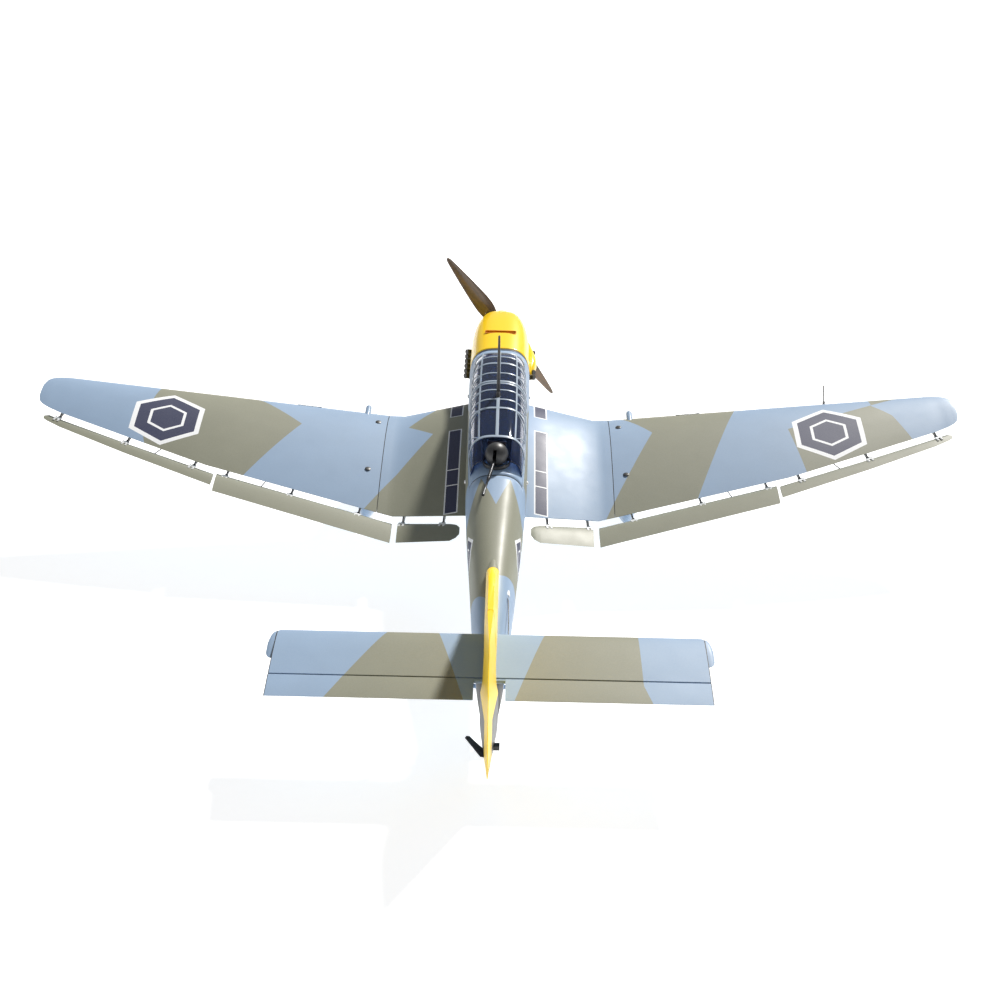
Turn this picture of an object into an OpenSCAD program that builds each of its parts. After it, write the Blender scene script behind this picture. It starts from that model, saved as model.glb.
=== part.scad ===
// Radio-controlled gull-wing warbird, 2.26 m span, standing on its three wheels.
// Design frame: nose at the origin of Y, tail towards +Y, left wing towards +X; the thrust line is
// parallel to Y at height thrust_z.
// stance() tips that frame back on to the main wheels and the tail wheel.

/* [Power] */
// Propeller diameter
prop_d = 508; // [480:1:520]
// Spinner diameter
spinner_d = 102; // [98:1:104]
// Angle of the propeller about the thrust line when parked
prop_park = 54; // [0:1:180]
/* [Landing gear] */
// Main tyre diameter
main_d = 127; // [120:1:130]
// Main tyre width
main_w = 36; // [30:1:38]
// Half the track between the main wheels
track_x = 336; // [330:1:340]
// Tail tyre diameter
tail_d = 44; // [40:1:48]
/* [Airframe] */
// Skin thickness of the hollow wings and body
skin = 2.5; // [2:0.1:3]
// Station where the outer panels plug on to the centre section
joint_x = 280; // [278:1:282]
// Wall of the moulded cowl and fairings
mould = 2; // [1.5:0.1:2.5]
/* [Control surfaces] */
// Radius of every hinge pin
pin_r = 1.5; // [1.2:0.1:1.6]
// Radial clearance of the hinge pins
pin_fit = 0.05; // [0.03:0.01:0.08]
// Thickness of a hinge arm
arm_t = 3; // [2:0.1:3]
/* [Canopy] */
// Height of the split between body and lift-off hatch
sill_z = 60; // [58:1:62]
// Height of the aerial mast above the glazing
mast_h = 150; // [120:1:160]

/* [Hidden] */
$fn = 32;

// Colours
blue_grey = [0.60, 0.68, 0.76];
olive_grey = [0.50, 0.50, 0.43];
yellow = [0.98, 0.84, 0.05];
steel = [0.62, 0.63, 0.65];
black = [0.08, 0.08, 0.08];
ply = [0.80, 0.66, 0.45];

// Body outline: station, half width, top, bottom, roundness of the section
body = [[430, 77, 92, -118, 3.1], [530, 76, 94, -118, 3.2], [700, 73, 95, -117, 3.2],
    [920, 70, 95, -107, 3.0], [1100, 62, 94, -93, 2.7], [1325, 47, 88, -72, 2.4],
    [1450, 39, 76, -61, 2.3], [1520, 33, 66, -55, 2.3], [1600, 26, 58, -49, 2.3],
    [1661, 18, 52, -45, 2.3]];
// Cowl outline, in the same columns
nose = [[112, 55, 36, -80, 2.5], [150, 59, 57, -86, 2.9], [210, 69, 73, -93, 3.1],
    [270, 75, 81, -102, 3.2], [340, 77, 87, -111, 3.2], [429, 77, 92, -118, 3.1]];
// Chin radiator bath: station, half width, top edge, bottom
bath = [[133, 40, -52, -132], [170, 50, -58, -150], [246, 57, -72, -160], [330, 52, -84, -150],
    [400, 40, -92, -132], [412, 35, -95, -128]];
// Glazing: station, half width at the sill, crown height
glass = [[473, 62, 98], [496, 63, 116], [520, 63, 127], [570, 65, 142], [640, 66, 149], [760, 66, 153],
    [850, 65, 149], [920, 63, 144], [938, 62, 141], [960, 60, 130], [985, 57, 112]];
// Outer wing: station, leading edge y and z, trailing edge y and z, thickness ratio
wing = [[280, 466, -98, 876, -110, 0.14], [700, 484, -36, 779, -49, 0.125],
    [1060, 501, 17, 650, 5, 0.11], [1090, 505, 22, 637, 10, 0.10], [1108, 511, 25, 628, 14, 0.095],
    [1120, 520, 27, 619, 17, 0.09], [1127, 532, 28, 609, 20, 0.085], [1130, 548, 28, 596, 23, 0.08]];
// Centre section: the same columns from the centre line to the joint
center = [[0, 444, -72, 921, -84, 0.15], [77, 444, -72, 919, -84, 0.15],
    [242, 460, -103, 886, -114, 0.14], [280, 466, -98, 876, -110, 0.14]];
// Fin: height, leading edge, half thickness
fin_table = [[44, 1338, 10], [88, 1345, 12], [120, 1387, 12], [160, 1440, 11.5], [200, 1494, 10],
    [225, 1534, 8], [239, 1566, 6.5], [246, 1602, 5]];
// Rudder: height, trailing edge, half thickness at the hinge
rudder_table = [[-48, 1788, 12], [-42, 1797, 15], [0, 1800, 17], [50, 1800, 17], [80, 1800, 13],
    [120, 1800, 11.5], [200, 1799, 9], [225, 1794, 7.5], [239, 1782, 6], [246, 1762, 5]];
rudder_y = 1680;
// Stabiliser: station, leading edge; its plane and hinge line
stab_table = [[8, 1520], [390, 1520], [400, 1523], [405, 1528]];
stab_z = 62;
stab_t = 0.075;
elevator_y = 1653;
elevator_te = 1704;
elevator_x = [29, 405];
nose_gap = 1.2;

// Surfaces hung below the trailing edge: section table, then the ends of the hinge line,
// then hinge stations. Columns: station, leading edge, trailing edge, height
aileron_table = [[674, 796, 841, -65.5], [890, 722, 760, -33.5], [1060, 660, 689, -8.5],
    [1096, 645, 669, -3.5], [1107, 649, 660, -2]];
aileron_line = [[674, 790.5, -66], [1096, 640.5, -4]];
aileron_hinges = [724, 894, 1070];
outer_flap_table = [[243, 896, 970, -129], [666, 793, 863, -67]];
outer_flap_line = [[243, 891.5, -130], [666, 788.5, -68]];
outer_flap_hinges = [324, 486, 644];
inner_flap_table = [[82, 946, 970, -98.5], [90, 934, 984, -100], [104, 927, 992, -103],
    [229, 898, 971, -127]];
inner_flap_line = [[104, 922, -104], [229, 893.5, -128]];
inner_flap_hinges = [121, 217];
surface_t = 0.13;
// Linkages: station, rise of the servo shaft above the hinge, run ahead of it, horn length
aileron_link = [837, 20, 139, 25];
flap_link = [570, 19, 188, 30];
rod_z = 3;
rod_end_r = 3.2;
rod_end_t = 2.6;
link_pin_r = 1.2;
link_fit = 0.3;
shaft_r = 3;
hub_r = 5;

// Mast and rear gun, which rests turned towards the left wing
mast_y = 765;
gun_y = 968;
gun_z = 118;
gun_yaw = 10;
gun_droop = 4;
ball_r = 26;
pintle_r = 4;

// Wheels
main_y = 465;
main_z = -280;
axle_r = 4;
running = 0.05;
tail_y = 1624;
tail_z = -106;
steer_y = 1604;

// Engine group
thrust_z = -24;
prop_y = 90;
backplate_y = 105;
case_y = 165;
box_y = 300;
shaft_end = 200;
// Top of the radio tray
tray_z = -21;

// Joint between cowl and body; ends of the lift-off hatch
seam_y = 430;
hatch_y = [440, 1018];

// Ground attitude and the place of the origin
attitude = asin((main_d - tail_d) / 2 / norm([tail_y - main_y, main_z - tail_z]))
    - atan2(main_z - tail_z, tail_y - main_y);
ground = -main_y * sin(attitude) + main_z * cos(attitude) - main_d / 2;
rear_end = 1800 * cos(attitude) + 200 * sin(attitude);
front_end = thrust_z * sin(attitude);
origin_y = (rear_end + front_end) / 2;

// ---- functions -------------------------------------------------------------------------------

// Smooth value of column c of table t at station s
function row(t, s, i = 0) = i >= len(t) - 2 || s < t[i + 1][0] ? i : row(t, s, i + 1);
function slope(t, a, b, c) = (t[b][c] - t[a][c]) / (t[b][0] - t[a][0]);
function tangent(t, i, c) = slope(t, max(i - 1, 0), min(i + 1, len(t) - 1), c);
function track(t, s, c) =
    let (i = row(t, s), h = t[i + 1][0] - t[i][0], u = (s - t[i][0]) / h)
    (2 * u ^ 3 - 3 * u ^ 2 + 1) * t[i][c] + (u ^ 3 - 2 * u ^ 2 + u) * h * tangent(t, i, c)
    + (3 * u ^ 2 - 2 * u ^ 3) * t[i + 1][c] + (u ^ 3 - u ^ 2) * h * tangent(t, i + 1, c);
// Straight-line value of column c
function ramp(t, s, c) =
    let (i = row(t, s))
    t[i][c] + slope(t, i, i + 1, c) * (s - t[i][0]);
function spread(a, b, n) = [for (i = [0 : n]) a + (b - a) * i / n];
function signed_power(v, p) = sign(v) * abs(v) ^ (2 / p);

// Closed body section at station s of table t, drawn in by inset
function body_ring(t, s, inset, n) =
    let (w = track(t, s, 1) - inset, hi = track(t, s, 2) - inset, lo = track(t, s, 3) + inset,
        p = track(t, s, 4))
    [for (i = [0 : n - 1]) let (a = 360 * i / n)
        [w * signed_power(cos(a), p), s, (hi + lo) / 2 + (hi - lo) / 2 * signed_power(sin(a), p)]];
// Open arch from one sill to the other
function arch_ring(s, w, base, top, p, n) =
    [for (i = [0 : n]) let (a = 180 * i / n)
        [w * signed_power(cos(a), p), s, base + (top - base) * signed_power(sin(a), p)]];
function glass_ring(s, grow, n = 18) =
    arch_ring(s, track(glass, s, 1) + grow, sill_z + 1, track(glass, s, 2) + grow, 3, n);
function bath_ring(s, grow, n = 18) =
    arch_ring(s, track(bath, s, 1) + grow, track(bath, s, 2), track(bath, s, 3) - grow, 3, n);

// Wing section: half thickness and camber at fraction u of the chord
function half_thick(u, t) =
    5 * t * (0.2969 * sqrt(u) - 0.126 * u - 0.3516 * u ^ 2 + 0.2843 * u ^ 3 - 0.1015 * u ^ 4);
function camber(u, m) =
    u < 0.4 ? m / 0.16 * (0.8 * u - u ^ 2) : m / 0.36 * (0.2 + 0.8 * u - u ^ 2);
function foil_point(st, u, side, inset, m) =
    let (chord = st[3] - st[1])
    [st[0], st[1] + u * chord,
        st[2] + u * (st[4] - st[2]) + chord * (camber(u, m) + side * half_thick(u, st[5]))
            - side * inset];
function foil_ring(st, inset = 0, m = 0.02, u0 = 0, u1 = 1, n = 10) =
    let (us = [for (i = [0 : n]) u0 + (u1 - u0) * (1 - cos(180 * i / n)) / 2])
    concat([for (i = [n : -1 : 0]) foil_point(st, us[i], 1, inset, m)],
        [for (i = [(inset > 0 ? 0 : 1) : n]) foil_point(st, us[i], -1, inset, m)]);
function wing_station(t, x) = [x, for (c = [1 : 5]) ramp(t, x, c)];
function surface_station(r) = [r[0], r[1], r[3], r[2], r[3] - 1, surface_t];

// Section of a surface hinged on its own nose: chordwise and sideways offsets from the hinge
function nose_section(r, chord, n = 6) =
    concat([for (i = [0 : n]) let (a = 90 + 180 * i / n) [r * cos(a), r * sin(a)]],
        [[chord, -0.7], [chord, 0.7]]);

// ---- solids from rings -----------------------------------------------------------------------

// Does a ring turn the right-handed way about the direction from it to the next ring?
function middle(ring) = [for (p = ring) 1] * ring / len(ring);
function turn(ring) =
    let (o = ring[0])
    [for (j = [1 : len(ring) - 2]) 1] * [for (j = [1 : len(ring) - 2]) cross(ring[j] - o, ring[j + 1] - o)];
function right_handed(rings) = turn(rings[0]) * (middle(rings[1]) - middle(rings[0])) > 0;
function faced(faces, flip) = flip ? [for (f = faces) [for (i = [len(f) - 1 : -1 : 0]) f[i]]] : faces;

// Closed solid through rings of equal length, each a convex loop
module loft(rings) {
    n = len(rings[0]);
    m = len(rings);
    sides = [for (i = [0 : m - 2], j = [0 : n - 1])
        let (a = i * n + j, b = i * n + (j + 1) % n, c = a + n, d = b + n)
        each [[a, b, d], [a, d, c]]];
    caps = [[for (j = [n - 1 : -1 : 0]) j], [for (j = [0 : n - 1]) (m - 1) * n + j]];
    polyhedron([for (r = rings) each r], faced(concat(sides, caps), right_handed(rings)), convexity = 6);
}

// Sheet between an outer and an inner grid of points, closed round into a tube or left open
module sheet(outer, inner, closed) {
    m = len(outer);
    n = len(outer[0]);
    last = closed ? n - 1 : n - 2;
    o = m * n;
    skins = [for (i = [0 : m - 2], j = [0 : last])
        let (a = i * n + j, b = i * n + (j + 1) % n, c = a + n, d = b + n)
        each [[a, b, d], [a, d, c], [o + a, o + d, o + b], [o + a, o + c, o + d]]];
    ends = [for (j = [0 : last])
        let (b = (j + 1) % n, e = (m - 1) * n)
        each [[j, o + j, o + b], [j, o + b, b], [e + j, e + b, e + o + b], [e + j, e + o + b, e + o + j]]];
    edges = closed ? [] : [for (i = [0 : m - 2])
        let (a = i * n, c = a + n, b = a + n - 1, d = b + n)
        each [[a, c, o + c], [a, o + c, o + a], [b, o + b, o + d], [b, o + d, d]]];
    polyhedron(concat([for (r = outer) each r], [for (r = inner) each r]),
        faced(concat(skins, ends, edges), right_handed(outer)), convexity = 8);
}

module stance() {
    translate([0, -origin_y, -ground]) rotate([-attitude, 0, 0]) children();
}

// Draws a left-hand part, or its mirror image
module hand(left) {
    if (left) children();
    else mirror([1, 0, 0]) children();
}
module both_hands() {
    for (left = [true, false]) hand(left) children();
}

// Local frame on a hinge line at station x: X down, Y aft, Z along the line
module on_line(line, x) {
    d = line[1] - line[0];
    translate(line[0] + d * (x - line[0][0]) / d[0])
        rotate([0, acos(d[2] / norm(d)), atan2(d[1], d[0])]) children();
}
// Cylinder along Y from station a to b
module rod_y(a, b, r) {
    translate([0, a, 0]) rotate([-90, 0, 0]) cylinder(r = r, h = b - a);
}
// Cylinder along X, centred
module rod_x(h, r) {
    rotate([0, 90, 0]) cylinder(r = r, h = h, center = true);
}

// ---- body ------------------------------------------------------------------------------------

module hatch_cutter(clear) {
    translate([-90, hatch_y[0] - clear, sill_z - clear])
        cube([180, hatch_y[1] - hatch_y[0] + 2 * clear, 60]);
}

module fuselage() {
    stations = concat(spread(seam_y, 1020, 8), spread(1085, 1661, 9));
    color(olive_grey) difference() {
        sheet([for (s = stations) body_ring(body, s, 0, 28)],
            [for (s = stations) body_ring(body, s, skin, 28)], true);
        hatch_cutter(0);
        translate([0, steer_y, -80]) cylinder(r = 5 + running, h = 60);
    }
}

module firewall() {
    color(ply) difference() {
        union() {
            loft([for (s = [seam_y, seam_y + 6]) body_ring(body, s, skin + 0.3, 28)]);
            translate([0, box_y, thrust_z - 52]) {
                translate([-52, 0, 0]) cube([104, 6, 104]);
                for (x = [-52, 46]) translate([x, 0, 0]) cube([6, seam_y + 2 - box_y, 104]);
            }
        }
        rod_y(seam_y - 10, seam_y + 10, 16);
    }
}

module engine_mount() {
    color(steel) for (x = [-28, 28], z = [-28, 28]) translate([x, 0, thrust_z + z]) rod_y(228, box_y, 8);
}

module crankcase() {
    color(steel) translate([0, 0, thrust_z]) difference() {
        union() {
            rod_y(118, case_y, 20);
            translate([-30, case_y, -30]) cube([60, 57, 60]);
            translate([-38, 222, -38]) cube([76, 6, 76]);
            translate([-16, 228, -14]) cube([32, 34, 30]);
        }
        rod_y(110, shaft_end + 2, 5 + running);
    }
}

module cylinder_barrel() {
    fins = 8;
    pitch = 8;
    translate([0, 192, thrust_z - 30]) mirror([0, 0, 1]) {
        cylinder(r = 20, h = 76);
        for (i = [0 : fins - 1]) translate([0, 0, 8 + i * pitch]) cylinder(r = 27, h = 3);
        translate([0, 0, 76]) cylinder(r = 6, h = 12);
    }
}

module muffler() {
    color(steel) translate([0, 0, thrust_z - 54]) {
        rod_y(230, 292, 14);
        translate([-11, 206, -10]) cube([22, 26, 20]);
    }
}

module cowl() {
    stations = [112, 130, 150, 180, 210, 240, 270, 305, 340, 385, 429];
    color(yellow) difference() {
        sheet([for (s = stations) body_ring(nose, s, 0, 28)],
            [for (s = stations) body_ring(nose, s, mould, 28)], true);
        translate([-36, 150, -130]) cube([72, 240, 80]);
    }
}

// Row of exhaust pipes on the left side, grown by clear
module exhaust_row(clear) {
    count = 6;
    spacing = 26;
    for (i = [0 : count - 1])
        translate([72, 284 + i * spacing, -2]) rotate([0, 62, 30]) cylinder(r = 6.5 + clear, h = 16 + clear);
}
module exhaust_stubs() {
    color(black) both_hands() exhaust_row(0);
}

module intake_scoop() {
    rings = [for (i = [0 : 10]) let (u = i / 10, s = 240 + 164 * u, w = 3 + 14 * sin(175 * u ^ 1.6) ^ 0.7)
        [for (j = [0 : 11]) [-74 - w / 2 - w * cos(30 * j) / 1.3, s, 3 + (w + 4) * sin(30 * j)]]];
    color(yellow) difference() {
        loft(rings);
        hand(false) exhaust_row(0.4);
    }
}

module chin_radiator() {
    stations = [133, 150, 170, 205, 246, 290, 330, 370, 400, 412];
    color(yellow) {
        sheet([for (s = stations) bath_ring(s, 0)], [for (s = stations) bath_ring(s, -mould)], false);
        for (i = [0 : 4]) translate([-42, 150, -132 + 14 * i]) cube([84, 10, 2]);
    }
}

module fuel_tank() {
    color("white") {
        translate([-32, 456, -28]) cube([64, 112, 50]);
        rod_y(seam_y + 2, 457, 14);
    }
}

module radio_tray() {
    color(ply) translate([-58, 575, tray_z - 3]) cube([116, 345, 3]);
}

module radio_gear() {
    color(black) translate([0, 0, tray_z]) {
        translate([-24, 600, 0]) cube([48, 36, 16]);
        for (x = [-46, 8]) translate([x, 655, 0]) cube([38, 72, 24]);
        translate([-30, 745, 0]) cube([60, 50, 24]);
    }
}

// Servo standing on the given face: case, output shaft along Z
module servo() {
    translate([-9, -10, -44]) cube([18, 40, 38.5]);
    translate([0, 0, -6]) cylinder(r = shaft_r, h = 7);
}

module servos() {
    color(black) {
        both_hands() for (l = [[aileron_line, aileron_link], [outer_flap_line, flap_link]])
            on_line(l[0], l[1][0]) translate([-l[1][1], -l[1][2], 0]) servo();
        for (x = [-38, 0, 38]) translate([x, 820, tray_z + 38.5]) servo();
    }
}

// ---- wings -----------------------------------------------------------------------------------

// Joiner tubes: y, height, radius, inboard and outboard reach from the joint; they lean with the
// dihedral of the outer panel
dihedral = 8.4;
tubes = [[590, -93, 12, 60, 250], [720, -100, 7, 50, 150]];
tube_wall = 1.5;
module along_tube(t) {
    translate([joint_x, t[0], t[1]]) rotate([0, 90 - dihedral, 0]) children();
}

module wing_tubes() {
    color(steel) both_hands() for (t = tubes)
        along_tube(t) translate([0, 0, -t[3]]) difference() {
            cylinder(r = t[2], h = t[3] + t[4]);
            translate([0, 0, -1]) cylinder(r = t[2] - tube_wall, h = t[3] + t[4] + 2);
        }
}

module tube_bores() {
    for (t = tubes) along_tube(t) translate([0, 0, -t[3] - 10])
        cylinder(r = t[2] + 0.1, h = t[3] + t[4] + 20);
}

module wing_center() {
    xs = [-280, -242, -77, 77, 242, 280];
    core = [4, 77, 242, 272];
    color(olive_grey) difference() {
        loft([for (x = xs) let (f = foil_ring(wing_station(center, abs(x))))
            [for (p = f) [sign(x) * p[0], p[1], p[2]]]]);
        both_hands() loft([for (x = core) foil_ring(wing_station(center, x), skin, 0.02, 0.05, 0.88)]);
        both_hands() tube_bores();
    }
}

module wing_panel() {
    core = [288, 700, 1060];
    stations = concat([joint_x + 0.3], [for (i = [1 : len(wing) - 1]) wing[i][0]]);
    difference() {
        loft([for (x = stations) foil_ring(wing_station(wing, x))]);
        loft([for (x = core) foil_ring(wing_station(wing, x), skin, 0.02, 0.06, 0.86)]);
        tube_bores();
        for (l = [[aileron_line, aileron_link], [outer_flap_line, flap_link]])
            on_line(l[0], l[1][0]) translate([-l[1][1], -l[1][2] - 26, -5.5]) cube([40, 46, 11]);
        translate([track_x, main_y + 12, -140]) cylinder(r = 8.5, h = 50);
    }
}

module joint_caps() {
    // Station and fraction of the chord; each cap is sunk 1 mm in the skin
    color(black) both_hands() for (p = [[303, 0.19], [312, 0.68]])
        translate(foil_point(wing_station(wing, p[0]), p[1], 1, 1, 0.02)) cylinder(r = 7, h = 3);
}

// Arm from the wing down to a hinge eye, in the hinge frame
module hinge_arm() {
    difference() {
        translate([0, 0, -arm_t / 2]) linear_extrude(height = arm_t) union() {
            circle(r = 3.5);
            polygon([[-12, -38], [-12, -12], [-2, 2.8], [3.4, -0.8]]);
        }
        cylinder(r = pin_r + pin_fit, h = 20, center = true);
    }
}

module hinge_arms() {
    color(black) both_hands() {
        for (x = aileron_hinges) on_line(aileron_line, x) hinge_arm();
        for (x = outer_flap_hinges) on_line(outer_flap_line, x) hinge_arm();
        for (x = inner_flap_hinges) on_line(inner_flap_line, x) hinge_arm();
    }
}

// Two lugs and the pin on a surface, either side of an arm
module hinge_lugs() {
    inside = arm_t / 2 + 0.4;
    lug = 1.6;
    for (z = [inside, -inside - lug]) translate([0, 0, z]) linear_extrude(height = lug) union() {
        circle(r = 3.5);
        translate([-2.5, 0]) square([5, 18]);
    }
    cylinder(r = pin_r, h = 2 * (inside + lug), center = true);
}

// Control horn with its link pin, in the hinge frame
module horn(length) {
    translate([0, 0, -1]) linear_extrude(height = 2)
        polygon([[0, 5], [1, 20], [length + 2, 3], [length + 4, 0], [length + 2, -3], [length - 4, -3]]);
    translate([length, 0, -1]) cylinder(r = link_pin_r, h = 6);
}

module hung_foil(table, line, hinges) {
    loft([for (r = table) foil_ring(surface_station(r), 0, 0, 0, 1, 6)]);
    for (x = hinges) on_line(line, x) hinge_lugs();
}

module aileron() {
    hung_foil(aileron_table, aileron_line, aileron_hinges);
    on_line(aileron_line, aileron_link[0]) horn(aileron_link[3]);
}
module outer_flap() {
    hung_foil(outer_flap_table, outer_flap_line, outer_flap_hinges);
    on_line(outer_flap_line, flap_link[0]) horn(flap_link[3]);
}
module inner_flap() {
    hung_foil(inner_flap_table, inner_flap_line, inner_flap_hinges);
}

// Servo arm: hub on the servo shaft, link pin at the end
module servo_arm(line, link) {
    length = link[3];
    on_line(line, link[0]) translate([-link[1], -link[2], 0]) {
        difference() {
            union() {
                translate([0, 0, -5]) cylinder(r = hub_r, h = 6);
                translate([0, -3, -1]) cube([length, 6, 2]);
                translate([length, 0, -1]) cylinder(r = 3, h = 2);
            }
            translate([0, 0, -6]) cylinder(r = shaft_r + running, h = 8);
        }
        translate([length, 0, -1]) cylinder(r = link_pin_r, h = 6);
    }
}

// Pushrod between the arm's pin and the horn's pin
module pushrod(line, link) {
    reach = norm([link[1], link[2]]);
    lean = atan2(link[1], link[2]);
    on_line(line, link[0]) translate([link[3], 0, rod_z]) rotate([0, 0, lean]) difference() {
        union() {
            for (y = [0, -reach]) translate([0, y, 0])
                cylinder(r = rod_end_r, h = rod_end_t, center = true);
            translate([0, -reach, 0]) rod_y(2, reach - 2, 1.25);
        }
        cylinder(r = link_pin_r + link_fit, h = 10, center = true);
        translate([0, -reach, 0]) cylinder(r = link_pin_r + pin_fit, h = 10, center = true);
    }
}

module landing_lights() {
    color("white") both_hands() for (x = [463, 498]) {
        st = wing_station(wing, x);
        translate([st[0], st[1] + 1, st[2]]) sphere(r = 8);
    }
}

module pitot_tube() {
    st = wing_station(wing, 823);
    color(steel) translate([-st[0], st[1] + 12, st[2]]) rotate([92, 0, -10]) {
        cylinder(r = 3.5, h = 30);
        cylinder(r = 1.8, h = 122);
    }
}

module sirens() {
    pod_r = 8;
    color(blue_grey) both_hands() translate([track_x, 0, -77]) {
        rod_y(454, 498, pod_r);
        for (y = [454, 498]) translate([0, y, 0]) rotate([0, 0, 45]) sphere(r = pod_r);
    }
}

// ---- landing gear ----------------------------------------------------------------------------

leg_y = main_y + 12;
module gear_legs() {
    plate = 2.5;
    color(steel) both_hands() {
        translate([track_x, leg_y, -208]) cylinder(r = 8, h = 108);
        for (x = [-1, 1]) translate([track_x + x * (main_w / 2 + 3) - plate / 2, main_y - 8, main_z - 8])
            cube([plate, 22, 76]);
        translate([track_x - main_w / 2 - 4, main_y - 8, -212]) cube([main_w + 8, 22, 6]);
        translate([track_x, main_y, main_z]) rod_x(main_w + 8, axle_r);
    }
}

// Streamlined upright loop: fore and aft reach, half width
function teardrop(y0, y1, w, z, n = 12) =
    [for (i = [0 : n - 1]) let (a = 360 * i / n, c = cos(a), u = (1 - c) / 2)
        [track_x + w * sin(a) * (1.25 - 0.5 * u), y0 + (y1 - y0) * u ^ 0.85, z]];

// Space inside a moulded fairing: front, back, half width and height of each section, drawn in
function drawn_in(rings, wall) =
    [for (i = [0 : len(rings) - 1]) let (r = rings[i], end = i == 0 ? -wall : i == len(rings) - 1 ? wall : 0)
        teardrop(r[0] + 1.5 * wall, r[1] - 3 * wall, r[2] - wall, r[3] + end)];

module gear_trousers() {
    rings = [[432, 540, 19, -106], [430, 542, 20, -150], [424, 550, 22, -185], [412, 566, 26, -206]];
    color(blue_grey) both_hands() difference() {
        loft([for (r = rings) teardrop(r[0], r[1], r[2], r[3])]);
        loft(drawn_in(rings, mould));
        translate([track_x, leg_y, -220]) cylinder(r = 8.6, h = 130);
    }
}

module wheel_spats() {
    rings = [[392, 600, 28, -198], [378, 618, 33, -212], [370, 632, 36, -240], [366, 640, 36, -270],
        [372, 632, 34, -300], [388, 600, 28, -316]];
    well = main_w / 2 + 7;
    color(blue_grey) both_hands() difference() {
        loft([for (r = rings) teardrop(r[0], r[1], r[2], r[3])]);
        loft(drawn_in(rings, mould));
        translate([track_x, main_y, main_z]) rod_x(2 * well, main_d / 2 + 4);
        translate([track_x - well, main_y - 20, -310]) cube([2 * well, 50, 104]);
        translate([track_x, leg_y, -220]) cylinder(r = 8.6, h = 40);
        translate([track_x - 31, 400, -207]) cube([62, 170, 20]);
    }
}

module main_wheel() {
    w = main_w / 2;
    r = main_d / 2;
    translate([track_x, main_y, main_z]) rotate([0, 90, 0]) difference() {
        rotate_extrude($fn = 96) polygon(concat([[0, -w + 6], [r - 30, -w + 3], [r - 16, -w]],
            [for (a = [-70 : 20 : 70]) [r - 14 + 14 * cos(a), w * sin(a) * 0.98]],
            [[r - 16, w], [r - 30, w - 3], [0, w - 6]]));
        cylinder(r = axle_r + running, h = 60, center = true);
    }
}

module tail_fork() {
    plate = 2;
    color(black) {
        translate([0, steer_y, -78]) cylinder(r = 5, h = 66);
        translate([-11, steer_y - 6, -82]) cube([22, 26, 4]);
        for (x = [-11, 11 - plate]) translate([x, steer_y, tail_z - 5]) cube([plate, 26, 30]);
        translate([0, tail_y, tail_z]) rod_x(20, 2);
    }
}

module tail_wheel() {
    r = tail_d / 2;
    color(black) translate([0, tail_y, tail_z]) rotate([0, 90, 0]) difference() {
        rotate_extrude($fn = 64) polygon(concat([[0, -5], [r - 9, -6]],
            [for (a = [-75 : 25 : 75]) [r - 7 + 7 * cos(a), 7 * sin(a)]], [[r - 9, 6], [0, 5]]));
        cylinder(r = 2 + running, h = 30, center = true);
    }
}

// ---- tail ------------------------------------------------------------------------------------

// Hinge eye reaching back from a tail plane to its hinge axis, in a frame with Z on the axis
module tail_eye(reach) {
    difference() {
        union() {
            cylinder(r = 3, h = 3, center = true);
            translate([-2, -reach, -1.5]) cube([4, reach, 3]);
        }
        cylinder(r = pin_r + pin_fit, h = 10, center = true);
    }
}
// Slot that clears an eye in the nose of a moving surface, flared for its travel
module eye_slot() {
    cylinder(r = 4.2, h = 4, center = true);
    linear_extrude(height = 4, center = true) polygon([[-4.2, 0], [4.2, 0], [19, -30], [-19, -30]]);
}
tail_eyes = [20, 170];
elevator_eye = 230;

function stab_ring(x, le) =
    let (total = elevator_te - 1520, te = elevator_y - stab_nose - nose_gap)
    [for (side = [1, -1], i = [0 : 8])
        let (k = side > 0 ? 8 - i : i, u = (1 - cos(90 * k / 8)), y = le + (te - le) * u,
            v = max((y - 1520) / total, 0.0001))
        [x, y, stab_z + side * (i == (side > 0 ? 8 : 0) ? 0.3 : total * half_thick(v, stab_t))]];
stab_nose = 4.6;

module stabilizer() {
    cap = [[405, 1524, 1602], [411, 1528, 1600], [415, 1538, 1596], [418, 1556, 1588]];
    color(blue_grey) difference() {
        both_hands() union() {
            loft([for (r = stab_table) stab_ring(r[0], r[1])]);
            loft([for (r = cap) foil_ring([r[0], r[1], stab_z, r[2], stab_z, 0.15], 0, 0, 0, 1, 5)]);
            translate([elevator_eye, elevator_y, stab_z]) rotate([0, 90, 0]) tail_eye(12);
        }
    }
}

module tail_struts() {
    color(blue_grey) both_hands() {
        a = [20, 1560, -38];
        b = [205, 1570, stab_z - 6];
        d = b - a;
        translate(a) rotate([0, acos(d[2] / norm(d)), atan2(d[1], d[0])]) cylinder(r = 4, h = norm(d));
    }
}

module fin() {
    color(yellow) difference() {
        union() {
            loft([for (r = fin_table)
                let (te = rudder_y - max(track(rudder_table, r[0], 2), 5) - nose_gap, c = te - r[1], t = r[2])
                [[0, r[1], r[0]], [-0.7 * t, r[1] + 0.4 * t, r[0]], [-t, r[1] + 1.5 * t, r[0]],
                    [-t, r[1] + 0.7 * c, r[0]], [-t * 0.9, te, r[0]], [t * 0.9, te, r[0]],
                    [t, r[1] + 0.7 * c, r[0]], [t, r[1] + 1.5 * t, r[0]],
                    [0.7 * t, r[1] + 0.4 * t, r[0]]]]);
            for (z = tail_eyes) translate([0, rudder_y, z]) tail_eye(30);
            translate([-10, 1642, -38]) cube([20, 19, 86]);
        }
        translate([0, elevator_y, stab_z]) rod_x(60, 4 + 0.4);
    }
}

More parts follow.
